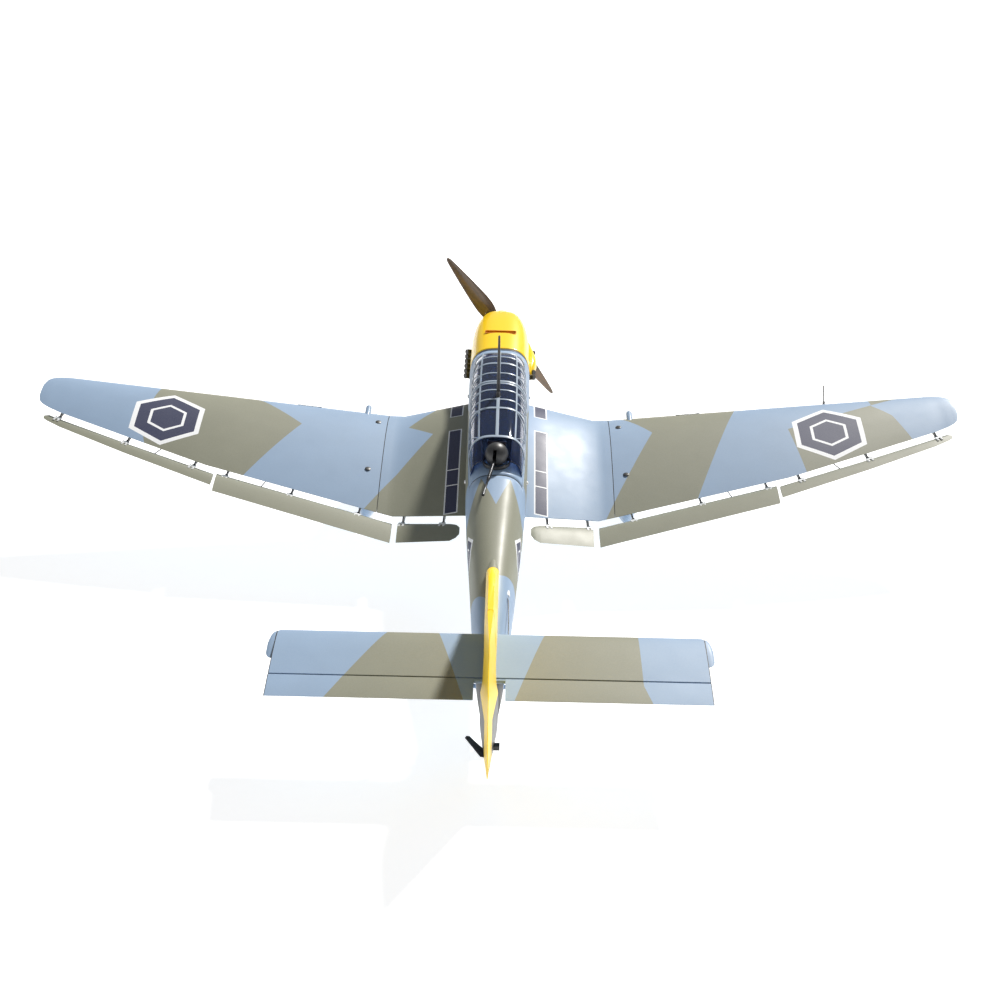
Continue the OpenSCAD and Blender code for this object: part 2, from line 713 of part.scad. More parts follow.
module rudder() {
    color(yellow) {
        difference() {
            loft([for (r = rudder_table)
                [for (p = nose_section(r[2], r[1] - rudder_y)) [-p[1], rudder_y + p[0], r[0]]]]);
            for (z = tail_eyes) translate([0, rudder_y, z]) eye_slot();
        }
        for (z = tail_eyes) translate([0, rudder_y, z]) cylinder(r = pin_r, h = 12, center = true);
        translate([0, rudder_y, -39]) linear_extrude(height = 2)
            polygon([[6, 48], [35, 13], [40, 12], [43, 17], [14, 64], [6, 66]]);
    }
}

module elevator(left) {
    color(olive_grey) hand(left) {
        difference() {
            loft([for (x = elevator_x)
                [for (p = nose_section(stab_nose, elevator_te - elevator_y))
                    [x, elevator_y + p[0], stab_z + p[1]]]]);
            translate([elevator_eye, elevator_y, stab_z]) rotate([0, 90, 0]) eye_slot();
        }
        translate([elevator_eye, elevator_y, stab_z]) rod_x(12, pin_r);
        if (left) translate([4, elevator_y, stab_z]) rod_x(90, 4);
    }
}

// ---- cockpit ---------------------------------------------------------------------------------

module hatch_deck() {
    split = 0.4;
    stations = spread(hatch_y[0] + split, hatch_y[1] - split, 10);
    color(blue_grey) difference() {
        loft([for (s = stations) body_ring(body, s, 0, 28)]);
        translate([-100, 400, -200]) cube([200, 700, 200 + sill_z + split]);
        translate([-58, 472, 0]) cube([116, 484, 120]);
        translate([-40, 500, 0]) cube([80, 505, 70]);
        translate([0, gun_y, gun_z]) sphere(r = ball_r + 0.6);
        translate([0, gun_y, 60]) cylinder(r = pintle_r + running, h = 60);
    }
}

tub_top = 64;
module cockpit_tub() {
    color(black) difference() {
        translate([-56, 474, 30]) cube([112, 508, tub_top - 30]);
        translate([-54, 540, 32]) cube([108, 440, 40]);
    }
    color(olive_grey) for (y = [640, 860]) translate([-22, y, 31]) {
        cube([44, 40, 14]);
        translate([0, 34, 0]) cube([44, 6, 62]);
    }
}

module canopy_glazing() {
    stations = [473, 484, 496, 520, 545, 570, 604, 640, 700, 760, 805, 850, 920, 938, 960, 985];
    color([0.7, 0.8, 0.9, 0.4]) difference() {
        sheet([for (s = stations) glass_ring(s, 0)], [for (s = stations) glass_ring(s, -1.2)], false);
        translate([-31, 938, 70]) cube([62, 60, 90]);
    }
}

module canopy_frames() {
    width = 7;
    hoops = [477, 545, 604, 658, 706, 745, 785, 822, 930];
    color(blue_grey) {
        for (s = hoops) sheet([for (y = [s, s + width]) glass_ring(y, 1.6)],
            [for (y = [s, s + width]) glass_ring(y, 0.4)], false);
        difference() {
            loft([for (s = [932, 935]) glass_ring(s, -1.8)]);
            translate([-60, 930, 50]) cube([120, 8, tub_top + 0.4 - 50]);
        }
    }
}

module aerial_mast() {
    color(black) translate([0, mast_y, track(glass, mast_y, 2) - 1]) {
        cylinder(r1 = 4, r2 = 1.8, h = mast_h);
        cylinder(r = 8, h = 6);
    }
}

module at_gun() {
    translate([0, gun_y, gun_z]) rotate([0, 0, -gun_yaw]) children();
}
module gun_ball() {
    color(black) difference() {
        union() {
            at_gun() rotate([0, 0, 45]) sphere(r = ball_r);
            translate([0, gun_y, gun_z - 44]) cylinder(r = pintle_r, h = 24);
        }
        at_gun() translate([-4, -15, -20]) cube([8, 50, 40]);
        at_gun() rod_x(50, pin_r + pin_fit);
    }
}

module gun() {
    color(black) at_gun() {
        rotate([-gun_droop, 0, 0]) {
            rod_y(-12, 150, 2.4);
            rod_y(30, 100, 3.2);
        }
        rod_x(24, pin_r);
    }
}

// ---- propeller -------------------------------------------------------------------------------

// Blade sections: radius, chord, thickness, pitch angle
blade = [[16, 30, 15, 52], [34, 34, 12, 46], [60, 46, 8.5, 36], [90, 47, 7, 28], [130, 40, 5.5, 21],
    [180, 29, 4.2, 16], [225, 18, 3.2, 13], [247, 11, 2.4, 12], [254, 5, 1.5, 12]];
function blade_ring(r, chord, thick, pitch, n = 12) =
    [for (i = [0 : n - 1]) let (a = 360 * i / n, u = chord / 2 * cos(a), v = thick / 2 * sin(a))
        [r * prop_d / 508, -u * sin(pitch) + v * cos(pitch), u * cos(pitch) + v * sin(pitch)]];

module propeller() {
    color([0.28, 0.2, 0.14]) translate([0, prop_y, thrust_z]) rotate([0, -prop_park, 0]) {
        difference() {
            union() {
                rod_y(-13, 12, 21);
                for (turn = [0, 180]) rotate([0, turn, 0])
                    loft([for (b = blade) blade_ring(b[0], b[1], b[2], b[3])]);
            }
            rod_y(-20, 20, 5 + running);
        }
    }
}

module spinner() {
    r = spinner_d / 2;
    steps = 14;
    outer = [for (i = [0 : steps]) let (u = i / steps) [r * u, -backplate_y * (1 - u ^ 1.7)]];
    inner = [for (i = [steps : -1 : 1]) let (u = i / steps)
        [max(r * u - mould, 0.01), -backplate_y * (1 - u ^ 1.7) * 0.96]];
    color(yellow) translate([0, backplate_y, thrust_z]) rotate([0, -prop_park, 0]) difference() {
        rotate([-90, 0, 0]) rotate_extrude($fn = 72) polygon(concat(outer, inner, [[0.01, -backplate_y * 0.96]]));
        for (turn = [0, 180]) rotate([0, turn, 0]) translate([40, prop_y - backplate_y, 0])
            rotate([46, 0, 0]) cube([60, 26, 52], center = true);
    }
}

module prop_shaft() {
    color(steel) translate([0, 0, thrust_z]) {
        rod_y(66, shaft_end, 5);
        rod_y(70, 76, 11);
        difference() {
            rod_y(backplate_y + 0.3, backplate_y + 3, spinner_d / 2 - 0.5);
            for (a = [0, 90, 180, 270]) rotate([0, a, 0]) translate([32, 0, 0]) rod_y(90, 120, 4);
        }
    }
}

stance() fuselage();
stance() firewall();
stance() engine_mount();
stance() crankcase();
stance() color(steel) cylinder_barrel();  // cylinder
stance() muffler();
stance() cowl();
stance() exhaust_stubs();
stance() intake_scoop();
stance() chin_radiator();
stance() fuel_tank();
stance() radio_tray();
stance() radio_gear();
stance() servos();
stance() wing_center();
stance() wing_tubes();
stance() color(blue_grey) hand(true) wing_panel();  // wing_panel_left
stance() color(blue_grey) hand(false) wing_panel();  // wing_panel_right
stance() joint_caps();
stance() hinge_arms();
stance() landing_lights();
stance() pitot_tube();
stance() sirens();
stance() gear_legs();
stance() gear_trousers();
stance() wheel_spats();
stance() stabilizer();
stance() tail_struts();
stance() fin();
stance() hatch_deck();
stance() cockpit_tub();
stance() canopy_glazing();
stance() canopy_frames();
stance() aerial_mast();
stance() gun_ball();
stance() gun();
stance() propeller();
stance() spinner();
stance() prop_shaft();
stance() color(olive_grey) hand(true) aileron();  // aileron_left
stance() color(olive_grey) hand(false) aileron();  // aileron_right
stance() color(olive_grey) hand(true) outer_flap();  // outer_flap_left
stance() color(olive_grey) hand(false) outer_flap();  // outer_flap_right
stance() color(olive_grey) hand(true) inner_flap();  // inner_flap_left
stance() color(olive_grey) hand(false) inner_flap();  // inner_flap_right
stance() elevator(true);  // elevator_left
stance() elevator(false);  // elevator_right
stance() rudder();
stance() tail_fork();
stance() tail_wheel();
stance() color(black) hand(true) main_wheel();  // main_wheel_left
stance() color(black) hand(false) main_wheel();  // main_wheel_right
stance() color(steel) hand(true) servo_arm(aileron_line, aileron_link);  // aileron_arm_left
stance() color(steel) hand(false) servo_arm(aileron_line, aileron_link);  // aileron_arm_right
stance() color(steel) hand(true) pushrod(aileron_line, aileron_link);  // aileron_rod_left
stance() color(steel) hand(false) pushrod(aileron_line, aileron_link);  // aileron_rod_right
stance() color(steel) hand(true) servo_arm(outer_flap_line, flap_link);  // flap_arm_left
stance() color(steel) hand(false) servo_arm(outer_flap_line, flap_link);  // flap_arm_right
stance() color(steel) hand(true) pushrod(outer_flap_line, flap_link);  // flap_rod_left
stance() color(steel) hand(false) pushrod(outer_flap_line, flap_link);  // flap_rod_right
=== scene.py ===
from math import acos, atan2, copysign, cos, pi, radians, sin, sqrt

import bmesh
import bpy
from mathutils import Matrix, Vector


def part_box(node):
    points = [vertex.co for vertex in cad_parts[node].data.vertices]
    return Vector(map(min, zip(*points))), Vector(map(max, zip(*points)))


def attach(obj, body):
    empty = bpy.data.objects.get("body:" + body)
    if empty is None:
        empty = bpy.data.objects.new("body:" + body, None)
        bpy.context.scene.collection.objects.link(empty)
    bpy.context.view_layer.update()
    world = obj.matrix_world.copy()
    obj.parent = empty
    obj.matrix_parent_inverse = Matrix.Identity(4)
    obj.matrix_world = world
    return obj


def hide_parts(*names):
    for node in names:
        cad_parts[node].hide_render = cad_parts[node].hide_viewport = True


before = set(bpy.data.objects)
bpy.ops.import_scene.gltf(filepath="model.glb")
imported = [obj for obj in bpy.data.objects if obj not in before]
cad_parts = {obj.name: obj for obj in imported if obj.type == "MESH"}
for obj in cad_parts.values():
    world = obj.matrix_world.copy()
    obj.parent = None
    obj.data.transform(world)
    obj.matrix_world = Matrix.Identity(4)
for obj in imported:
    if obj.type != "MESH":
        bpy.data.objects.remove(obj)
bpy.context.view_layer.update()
scene = bpy.context.scene

# ---- frames --------------------------------------------------------------------------------------
# Shapes are written in the design frame, in millimetres: nose at Y = 0, tail towards +Y, the left
# wing towards +X, thrust line at height THRUST_Z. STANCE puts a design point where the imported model
# stands.

MM = 0.001
move = Matrix.Translation


def about(axis, angle):
    return Matrix.Rotation(angle, 4, axis)


MAIN_AXLE = Vector((336, 465, -280))
TAIL_AXLE = Vector((0, 1624, -106))


def node_centre(node):
    lo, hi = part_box(node)
    return (lo + hi) / 2


def climb(a, b):
    return atan2(b.z - a.z, b.y - a.y)


main_at, tail_at = node_centre("main_wheel_left"), node_centre("tail_wheel")
ATTITUDE = climb(MAIN_AXLE, TAIL_AXLE) - climb(main_at, tail_at)
TIP_BACK = about("X", -ATTITUDE)
STANCE = move(main_at) @ TIP_BACK @ Matrix.Scale(MM, 4) @ move(-MAIN_AXLE)
MIRROR = Matrix.Diagonal((-1, 1, 1, 1))

# ---- camera, floor and light ---------------------------------------------------------------------

EYE = (-21, 3579, 1776)
LOOK = (0, -0.8254, -0.5645)
ROLL = radians(1.27)
LENS = 50.5
SHIFT = (-0.005, 0.002)
SUN_FROM = (-0.36, -0.61, 0.71)
FILL_FROM = (-0.6, -0.2, 0.9)
FLOOR_REACH = 40
LAMP_REACH = 5


def add_camera():
    camera = bpy.data.objects.new("camera", bpy.data.cameras.new("camera"))
    scene.collection.objects.link(camera)
    look = (TIP_BACK @ Vector(LOOK)).to_track_quat("-Z", "Y")
    camera.matrix_world = (move(STANCE @ Vector(EYE)) @ look.to_matrix().to_4x4()
                           @ about("Z", ROLL))
    camera.data.lens = LENS
    camera.data.sensor_width = 36
    camera.data.shift_x, camera.data.shift_y = SHIFT
    camera.data.clip_end = 100
    scene.camera = camera


def add_light(name, kind, energy, direction, colour=(1, 1, 1), **settings):
    """A lamp that shines from the given direction towards the middle of the object."""
    lamp = bpy.data.objects.new(name, bpy.data.lights.new(name, kind))
    lamp.data.energy = energy
    lamp.data.color = colour
    for key, value in settings.items():
        setattr(lamp.data, key, value)
    lamp.location = LAMP_REACH * Vector(direction).normalized()
    lamp.rotation_mode = "QUATERNION"
    lamp.rotation_quaternion = (-Vector(direction)).to_track_quat("-Z", "Y")
    scene.collection.objects.link(lamp)


def add_studio():
    floor = bpy.data.meshes.new("floor")
    half = FLOOR_REACH
    floor.from_pydata([(-half, -half, 0), (half, -half, 0), (half, half, 0), (-half, half, 0)], [],
                      [(0, 1, 2, 3)])
    ground = bpy.data.objects.new("floor", floor)
    scene.collection.objects.link(ground)
    paper = Shader("floor_paper")
    paper.set(base=grey(0.62), roughness=0.9, glow=grey(1.0), glow_strength=0.75)
    paper.bump(paper.noise(900, 2), 0.02, 0.2)
    floor.materials.append(paper.material)
    world = bpy.data.worlds.new("studio")
    world.use_nodes = True
    world.node_tree.nodes["Background"].inputs["Color"].default_value = (0.93, 0.96, 1.0, 1)
    world.node_tree.nodes["Background"].inputs["Strength"].default_value = 0.3
    scene.world = world
    add_light("sun", "SUN", 5.2, SUN_FROM, (1.0, 0.97, 0.92), angle=radians(5))
    add_light("fill", "AREA", 14, FILL_FROM, shape="DISK", size=4)
    scene.view_settings.view_transform = "Standard"


# ---- shader building -----------------------------------------------------------------------------


def linear(v):
    return v / 12.92 if v <= 0.04045 else ((v + 0.055) / 1.055) ** 2.4


def srgb(r, g, b):
    return (linear(r / 255), linear(g / 255), linear(b / 255), 1)


def grey(v):
    return (v, v, v, 1)


class Shader:
    """Builds one procedural material. Positions inside it are design millimetres."""

    SOCKETS = {"base": "Base Color", "roughness": "Roughness", "metallic": "Metallic",
               "coat": "Coat Weight", "coat_roughness": "Coat Roughness", "ior": "IOR",
               "transmission": "Transmission Weight", "specular": "Specular IOR Level",
               "glow": "Emission Color", "glow_strength": "Emission Strength"}

    def __init__(self, name):
        self.material = bpy.data.materials.new(name)
        self.material.use_nodes = True
        self.tree = self.material.node_tree
        self.bsdf = self.tree.nodes["Principled BSDF"]
        coords = self.tree.nodes.new("ShaderNodeTexCoord")
        place = self.tree.nodes.new("ShaderNodeMapping")
        place.inputs["Rotation"].default_value = (ATTITUDE, 0, 0)
        place.inputs["Scale"].default_value = (1 / MM,) * 3
        place.inputs["Location"].default_value = STANCE.inverted().translation
        self.link(coords.outputs["Object"], place.inputs["Vector"])
        self.place = place.outputs["Vector"]
        split = self.tree.nodes.new("ShaderNodeSeparateXYZ")
        self.link(self.place, split.inputs[0])
        self.x, self.y, self.z = split.outputs
        self.side = self.math("ABSOLUTE", self.x)

    def link(self, source, socket):
        self.tree.links.new(source, socket)

    def feed(self, socket, value):
        if isinstance(value, bpy.types.NodeSocket):
            self.link(value, socket)
        else:
            socket.default_value = value

    def set(self, **values):
        for key, value in values.items():
            self.feed(self.bsdf.inputs[self.SOCKETS[key]], value)
        return self

    def math(self, operation, a, b=0.0, c=0.0):
        node = self.tree.nodes.new("ShaderNodeMath")
        node.operation = operation
        for socket, value in zip(node.inputs, (a, b, c)):
            self.feed(socket, value)
        return node.outputs[0]

    def blend(self, factor, a, b):
        node = self.tree.nodes.new("ShaderNodeMix")
        node.data_type = "RGBA"
        self.feed(node.inputs["Factor"], factor)
        self.feed(node.inputs[6], a)
        self.feed(node.inputs[7], b)
        return node.outputs[2]

    def noise(self, size, detail=3.0, stretch=(1, 1, 1)):
        """Noise from 0 to 1 whose features are about size millimetres across."""
        scale = self.tree.nodes.new("ShaderNodeMapping")
        self.link(self.place, scale.inputs["Vector"])
        scale.inputs["Scale"].default_value = tuple(s / size for s in stretch)
        node = self.tree.nodes.new("ShaderNodeTexNoise")
        self.link(scale.outputs[0], node.inputs["Vector"])
        node.inputs["Scale"].default_value = 1
        node.inputs["Detail"].default_value = detail
        return node.outputs["Fac"]

    def band(self, value, low, high):
        """Where value lies between low and high."""
        return self.math("COMPARE", value, (low + high) / 2, (high - low) / 2)

    def both(self, a, b):
        return self.math("MULTIPLY", a, b)

    def patch(self, u, v, u0, u1, v0, v1):
        return self.both(self.band(u, u0, u1), self.band(v, v0, v1))

    def border(self, along, across, points):
        """1 where across is beyond a broken line given as (along, across) points."""
        a0, a1 = points[0][0], points[-1][0]
        b0, b1 = min(p[1] for p in points) - 1, max(p[1] for p in points) + 1
        share = self.math("DIVIDE", self.math("SUBTRACT", along, a0), a1 - a0)
        curve = self.tree.nodes.new("ShaderNodeFloatCurve")
        self.link(share, curve.inputs["Value"])
        dots = curve.mapping.curves[0].points
        for index, (a, b) in enumerate(points):
            spot = ((a - a0) / (a1 - a0), (b - b0) / (b1 - b0))
            if index == 0:
                dots[0].location = spot
            elif index == len(points) - 1:
                dots[-1].location = spot
            else:
                dots.new(*spot)
        for dot in dots:
            dot.handle_type = "VECTOR"
        curve.mapping.update()
        edge = self.math("MULTIPLY_ADD", curve.outputs[0], b1 - b0, b0)
        return self.math("GREATER_THAN", across, edge)

    def splinter(self, first, borders):
        """Two-tone pattern that starts as first (0 or 1) and changes over at each border."""
        total = first
        for inside in borders:
            total = self.math("ADD", total, inside)
        return self.math("MODULO", total, 2)

    def bump(self, height, strength, depth):
        node = self.tree.nodes.new("ShaderNodeBump")
        node.inputs["Strength"].default_value = strength
        node.inputs["Distance"].default_value = depth * MM
        self.link(height, node.inputs["Height"])
        self.link(node.outputs["Normal"], self.bsdf.inputs["Normal"])
        return self

    def worn(self, colour, amount=0.12, size=60):
        """The same colour, a little darker and lighter in soft patches and fine specks."""
        broad = self.blend(self.math("MULTIPLY", self.noise(size, 4), amount), colour, grey(0.04))
        return self.blend(self.math("MULTIPLY", self.noise(2.5, 2), amount / 2), broad, grey(0.9))


# ---- colours -------------------------------------------------------------------------------------

BLUE_GREY = srgb(136, 160, 188)
OLIVE_GREY = srgb(130, 131, 114)
PALE_BLUE = srgb(160, 188, 205)
# Painted shade: the shaded look of the tail cone and of the lower rudder sides
SHADE_OLIVE = srgb(50, 48, 42)
NAVY = srgb(24, 34, 74)
WHITE = srgb(238, 240, 243)
YELLOW = srgb(255, 212, 0)
# Painted shade: yellow as it looks in shade, for the recessed slot in the cowl
ORANGE = srgb(226, 140, 0)
SEAM = srgb(22, 24, 26)


def film(name, colour, roughness=0.5, wear=0.12):
    """Iron-on covering film: satin, with faint wrinkles over the wood below."""
    s = Shader(name)
    s.set(base=s.worn(colour(s) if callable(colour) else colour, wear), coat=0.06, coat_roughness=0.3,
          specular=0.35)
    s.set(roughness=s.math("MULTIPLY_ADD", s.noise(40, 3), 0.16, roughness - 0.08))
    wrinkle = s.math("ADD", s.noise(90, 2), s.math("MULTIPLY", s.noise(6, 3), 0.15))
    return s.bump(wrinkle, 0.35, 0.8).material


WING_LEFT = [
    [(440, 150), (489, 166), (566, 225), (616, 161), (811, 277), (930, 345)],
    [(440, 660), (478, 622), (525, 570), (596, 488), (838, 622), (930, 670)],
    [(480, 850), (534, 856), (660, 870), (741, 845), (840, 820)],
]
WING_RIGHT = [
    [(440, 280), (515, 335), (583, 385), (824, 283), (930, 240)],
    [(440, 618), (509, 594), (869, 463), (930, 441)],
    [(500, 1010), (536, 920), (611, 715), (788, 744), (880, 760)],
    [(500, 930), (536, 932), (582, 973), (684, 1013), (760, 1040)],
]
MARK_PLACE = (812, 632)
MARK_SIZE = 84


def hexagon(s, u, v, cu, cv):
    """Distance from the centre of a hexagon to the side, in millimetres."""
    du = s.math("ABSOLUTE", s.math("SUBTRACT", u, cu))
    dv = s.math("ABSOLUTE", s.math("SUBTRACT", v, cv))
    slanted = s.math("MULTIPLY_ADD", du, 0.5, s.math("MULTIPLY", dv, sqrt(0.75)))
    return s.math("MAXIMUM", du, slanted)


def add_mark(s, colour, distance, size):
    """Generic mark: a navy hexagon with a white edge and a thin white hexagon inside."""
    for radius, paint in ((1, WHITE), (0.86, NAVY), (0.52, WHITE), (0.44, NAVY)):
        colour = s.blend(s.math("LESS_THAN", distance, size * radius), colour, paint)
    return colour


def wing_colour(s):
    on_left = s.math("GREATER_THAN", s.x, 0)
    left = s.splinter(1, [s.border(s.y, s.side, b) for b in WING_LEFT])
    right = s.splinter(0, [s.border(s.y, s.side, b) for b in WING_RIGHT])
    olive = s.math("MULTIPLY_ADD", on_left, s.math("SUBTRACT", left, right), right)
    colour = s.blend(olive, BLUE_GREY, OLIVE_GREY)
    for y0, y1 in ((430, 550), (615, 908)):
        colour = s.blend(s.patch(s.side, s.y, 89, 122, y0, y1), colour, WHITE)
    for y0, y1 in ((430, 547), (618, 766), (769, 818), (821, 905)):
        colour = s.blend(s.patch(s.side, s.y, 92, 119, y0, y1), colour, NAVY)
    colour = add_mark(s, colour, hexagon(s, s.side, s.y, *MARK_PLACE), MARK_SIZE)
    return s.blend(s.band(s.side, 279.2, 281), colour, SEAM)


def tail_plane_colour(s):
    on_left = s.math("GREATER_THAN", s.x, 0)
    left = s.splinter(0, [s.border(s.y, s.side, [(1510, 102), (1712, 44)]),
                          s.border(s.y, s.side, [(1510, 190), (1712, 301)])])
    right = s.splinter(0, [s.border(s.y, s.side, [(1510, 106), (1714, 43)]),
                           s.border(s.y, s.side, [(1510, 279), (1661, 281), (1714, 298)])])
    olive = s.math("MULTIPLY_ADD", on_left, s.math("SUBTRACT", left, right), right)
    colour = s.blend(olive, BLUE_GREY, OLIVE_GREY)
    return s.blend(s.band(s.side, 403.6, 405.6), colour, SEAM)


def body_colour(s):
    teeth = [(-80, 1050), (-58, 1130), (-32, 1027), (-2, 1128), (32, 1025), (58, 1130), (80, 1050)]
    rear = [(-60, 1340), (-14, 1362), (0, 1362), (1, 1440), (24, 1415), (40, 1400), (60, 1390)]
    flank = [(-60, 640), (-20, 720), (20, 610), (60, 700)]
    olive = s.splinter(0, [s.border(s.x, s.y, teeth), s.border(s.x, s.y, rear)])
    low = s.math("LESS_THAN", s.z, 56)
    ahead = s.math("LESS_THAN", s.y, 1000)
    side_olive = s.both(s.border(s.z, s.y, flank), s.both(low, ahead))
    colour = s.blend(s.math("MAXIMUM", olive, side_olive), BLUE_GREY, OLIVE_GREY)
    belly = s.math("LESS_THAN", s.z, s.math("MULTIPLY_ADD", s.y, 0.03, -90))
    colour = s.blend(belly, colour, PALE_BLUE)
    flat = s.math("GREATER_THAN", s.side, 30)
    mark = hexagon(s, s.y, s.z, 1222, 12)
    away = s.math("MULTIPLY", s.math("SUBTRACT", 1, flat), 999)
    colour = add_mark(s, colour, s.math("ADD", mark, away), 48)
    # Painted shade: the body aft of y 1604, under the stabiliser, is dark olive for its shaded look
    colour = s.blend(s.math("GREATER_THAN", s.y, 1604), colour, SHADE_OLIVE)
    high = s.math("GREATER_THAN", s.z, HATCH[2])
    colour = s.blend(s.both(s.band(s.y, HATCH[1] - 1.4, HATCH[1] + 1.6), high), colour, SEAM)
    return s.blend(s.math("LESS_THAN", s.y, SEAM_Y + 7), colour, SEAM)


def rudder_colour(s):
    # Painted shade: the lower sides of the all-yellow rudder are dark olive, as they look in shade
    shaded_low_side = s.both(s.math("LESS_THAN", s.z, 58), s.math("GREATER_THAN", s.side, 7))
    return s.blend(shaded_low_side, YELLOW, SHADE_OLIVE)


def plain(name, colour, wear, grain=None, patches=60, **values):
    """A paint, metal or plastic; grain is the size, detail, strength and depth of its bump."""
    s = Shader(name).set(**values)
    s.set(base=s.worn(colour, wear, patches))
    if grain:
        size, detail, strength, depth = grain
        s.bump(s.noise(size, detail), strength, depth)
    return s.material


def clear(name, colour, **values):
    return Shader(name).set(base=colour, **values).material


def make_materials():
    m = {}
    m["wing"] = film("wing_film", wing_colour)
    m["under"] = film("underside_film", PALE_BLUE)
    m["body"] = film("body_film", body_colour)
    m["tailplane"] = film("tailplane_film", tail_plane_colour)
    m["olive"] = film("olive_film", OLIVE_GREY)
    m["blue"] = film("blue_grey_film", BLUE_GREY)
    m["fin"] = film("fin_film", YELLOW, 0.4, 0.03)
    m["rudder"] = film("rudder_film", rudder_colour, 0.4, 0.03)
    m["yellow"] = plain("yellow_gel_coat", YELLOW, 0.03, (3, 2, 0.03, 0.1), roughness=0.3, coat=0.3,
                        coat_roughness=0.1)
    m["orange"] = plain("orange_shadow_paint", ORANGE, 0.08, roughness=0.35)
    m["grey"] = plain("grey_gel_coat", BLUE_GREY, 0.08, (3, 2, 0.04, 0.1), roughness=0.3, coat=0.4,
                      coat_roughness=0.12)
    m["frame"] = plain("frame_paint", srgb(150, 165, 182), 0.08, roughness=0.35, coat=0.2)
    m["black"] = plain("black_plastic", srgb(24, 25, 27), 0.1, (0.8, 2, 0.15, 0.1), roughness=0.42)
    m["gunmetal"] = plain("gun_blue_steel", srgb(40, 42, 46), 0.1, roughness=0.32, metallic=0.8)
    m["alloy"] = plain("machined_alloy", srgb(190, 192, 195), 0.08, (1.2, 3, 0.1, 0.1), metallic=1.0,
                       roughness=0.34)
    m["nylon"] = plain("white_nylon", srgb(225, 227, 228), 0.08, roughness=0.45)
    m["rubber"] = plain("tyre_rubber", srgb(30, 30, 31), 0.15, (1.5, 3, 0.25, 0.2), roughness=0.8)
    m["tank"] = plain("tank_plastic", srgb(222, 224, 214), 0.05, roughness=0.4, transmission=0.3)
    m["cockpit"] = plain("cockpit_paint", srgb(52, 58, 58), 0.2, (2, 2, 0.2, 0.2), roughness=0.6)
    m["leather"] = plain("brown_leather", srgb(92, 62, 40), 0.25, (1.6, 4, 0.5, 0.3), patches=15,
                         roughness=0.55)
    # Painted reflection: the blue tint of the clear canopy plastic stands in for the sky reflected in it
    m["glass"] = clear("canopy_plastic", srgb(92, 116, 168), roughness=0.04, transmission=0.9, ior=1.25,
                       coat=0.35)
    m["lens"] = clear("lamp_lens", srgb(236, 240, 244), roughness=0.08, transmission=0.85, coat=1.0)

    s = Shader("ground_steel")
    s.set(base=s.worn(srgb(160, 163, 168), 0.1), metallic=1.0)
    s.set(roughness=s.math("MULTIPLY_ADD", s.noise(4, 3, (1, 12, 1)), 0.25, 0.2))
    m["steel"] = s.material
    s = Shader("birch_plywood")
    grain = s.noise(3, 4, (1, 0.06, 1))
    s.set(base=s.blend(grain, srgb(214, 184, 136), srgb(178, 140, 92)), roughness=0.6)
    m["ply"] = s.bump(grain, 0.2, 0.3).material
    s = Shader("varnished_walnut")
    grain = s.noise(5, 5, (0.35, 2.5, 0.35))
    layers = s.math("PINGPONG", s.math("MULTIPLY_ADD", s.noise(80, 2), 3, s.y), 2.2)
    wood = s.blend(grain, srgb(96, 76, 55), srgb(58, 44, 32))
    wood = s.blend(s.math("MULTIPLY", layers, 0.16), wood, srgb(128, 98, 66))
    s.set(base=wood, roughness=0.3, coat=0.7, coat_roughness=0.1)
    m["walnut"] = s.bump(grain, 0.08, 0.2).material
    return m


# ---- mesh building -------------------------------------------------------------------------------


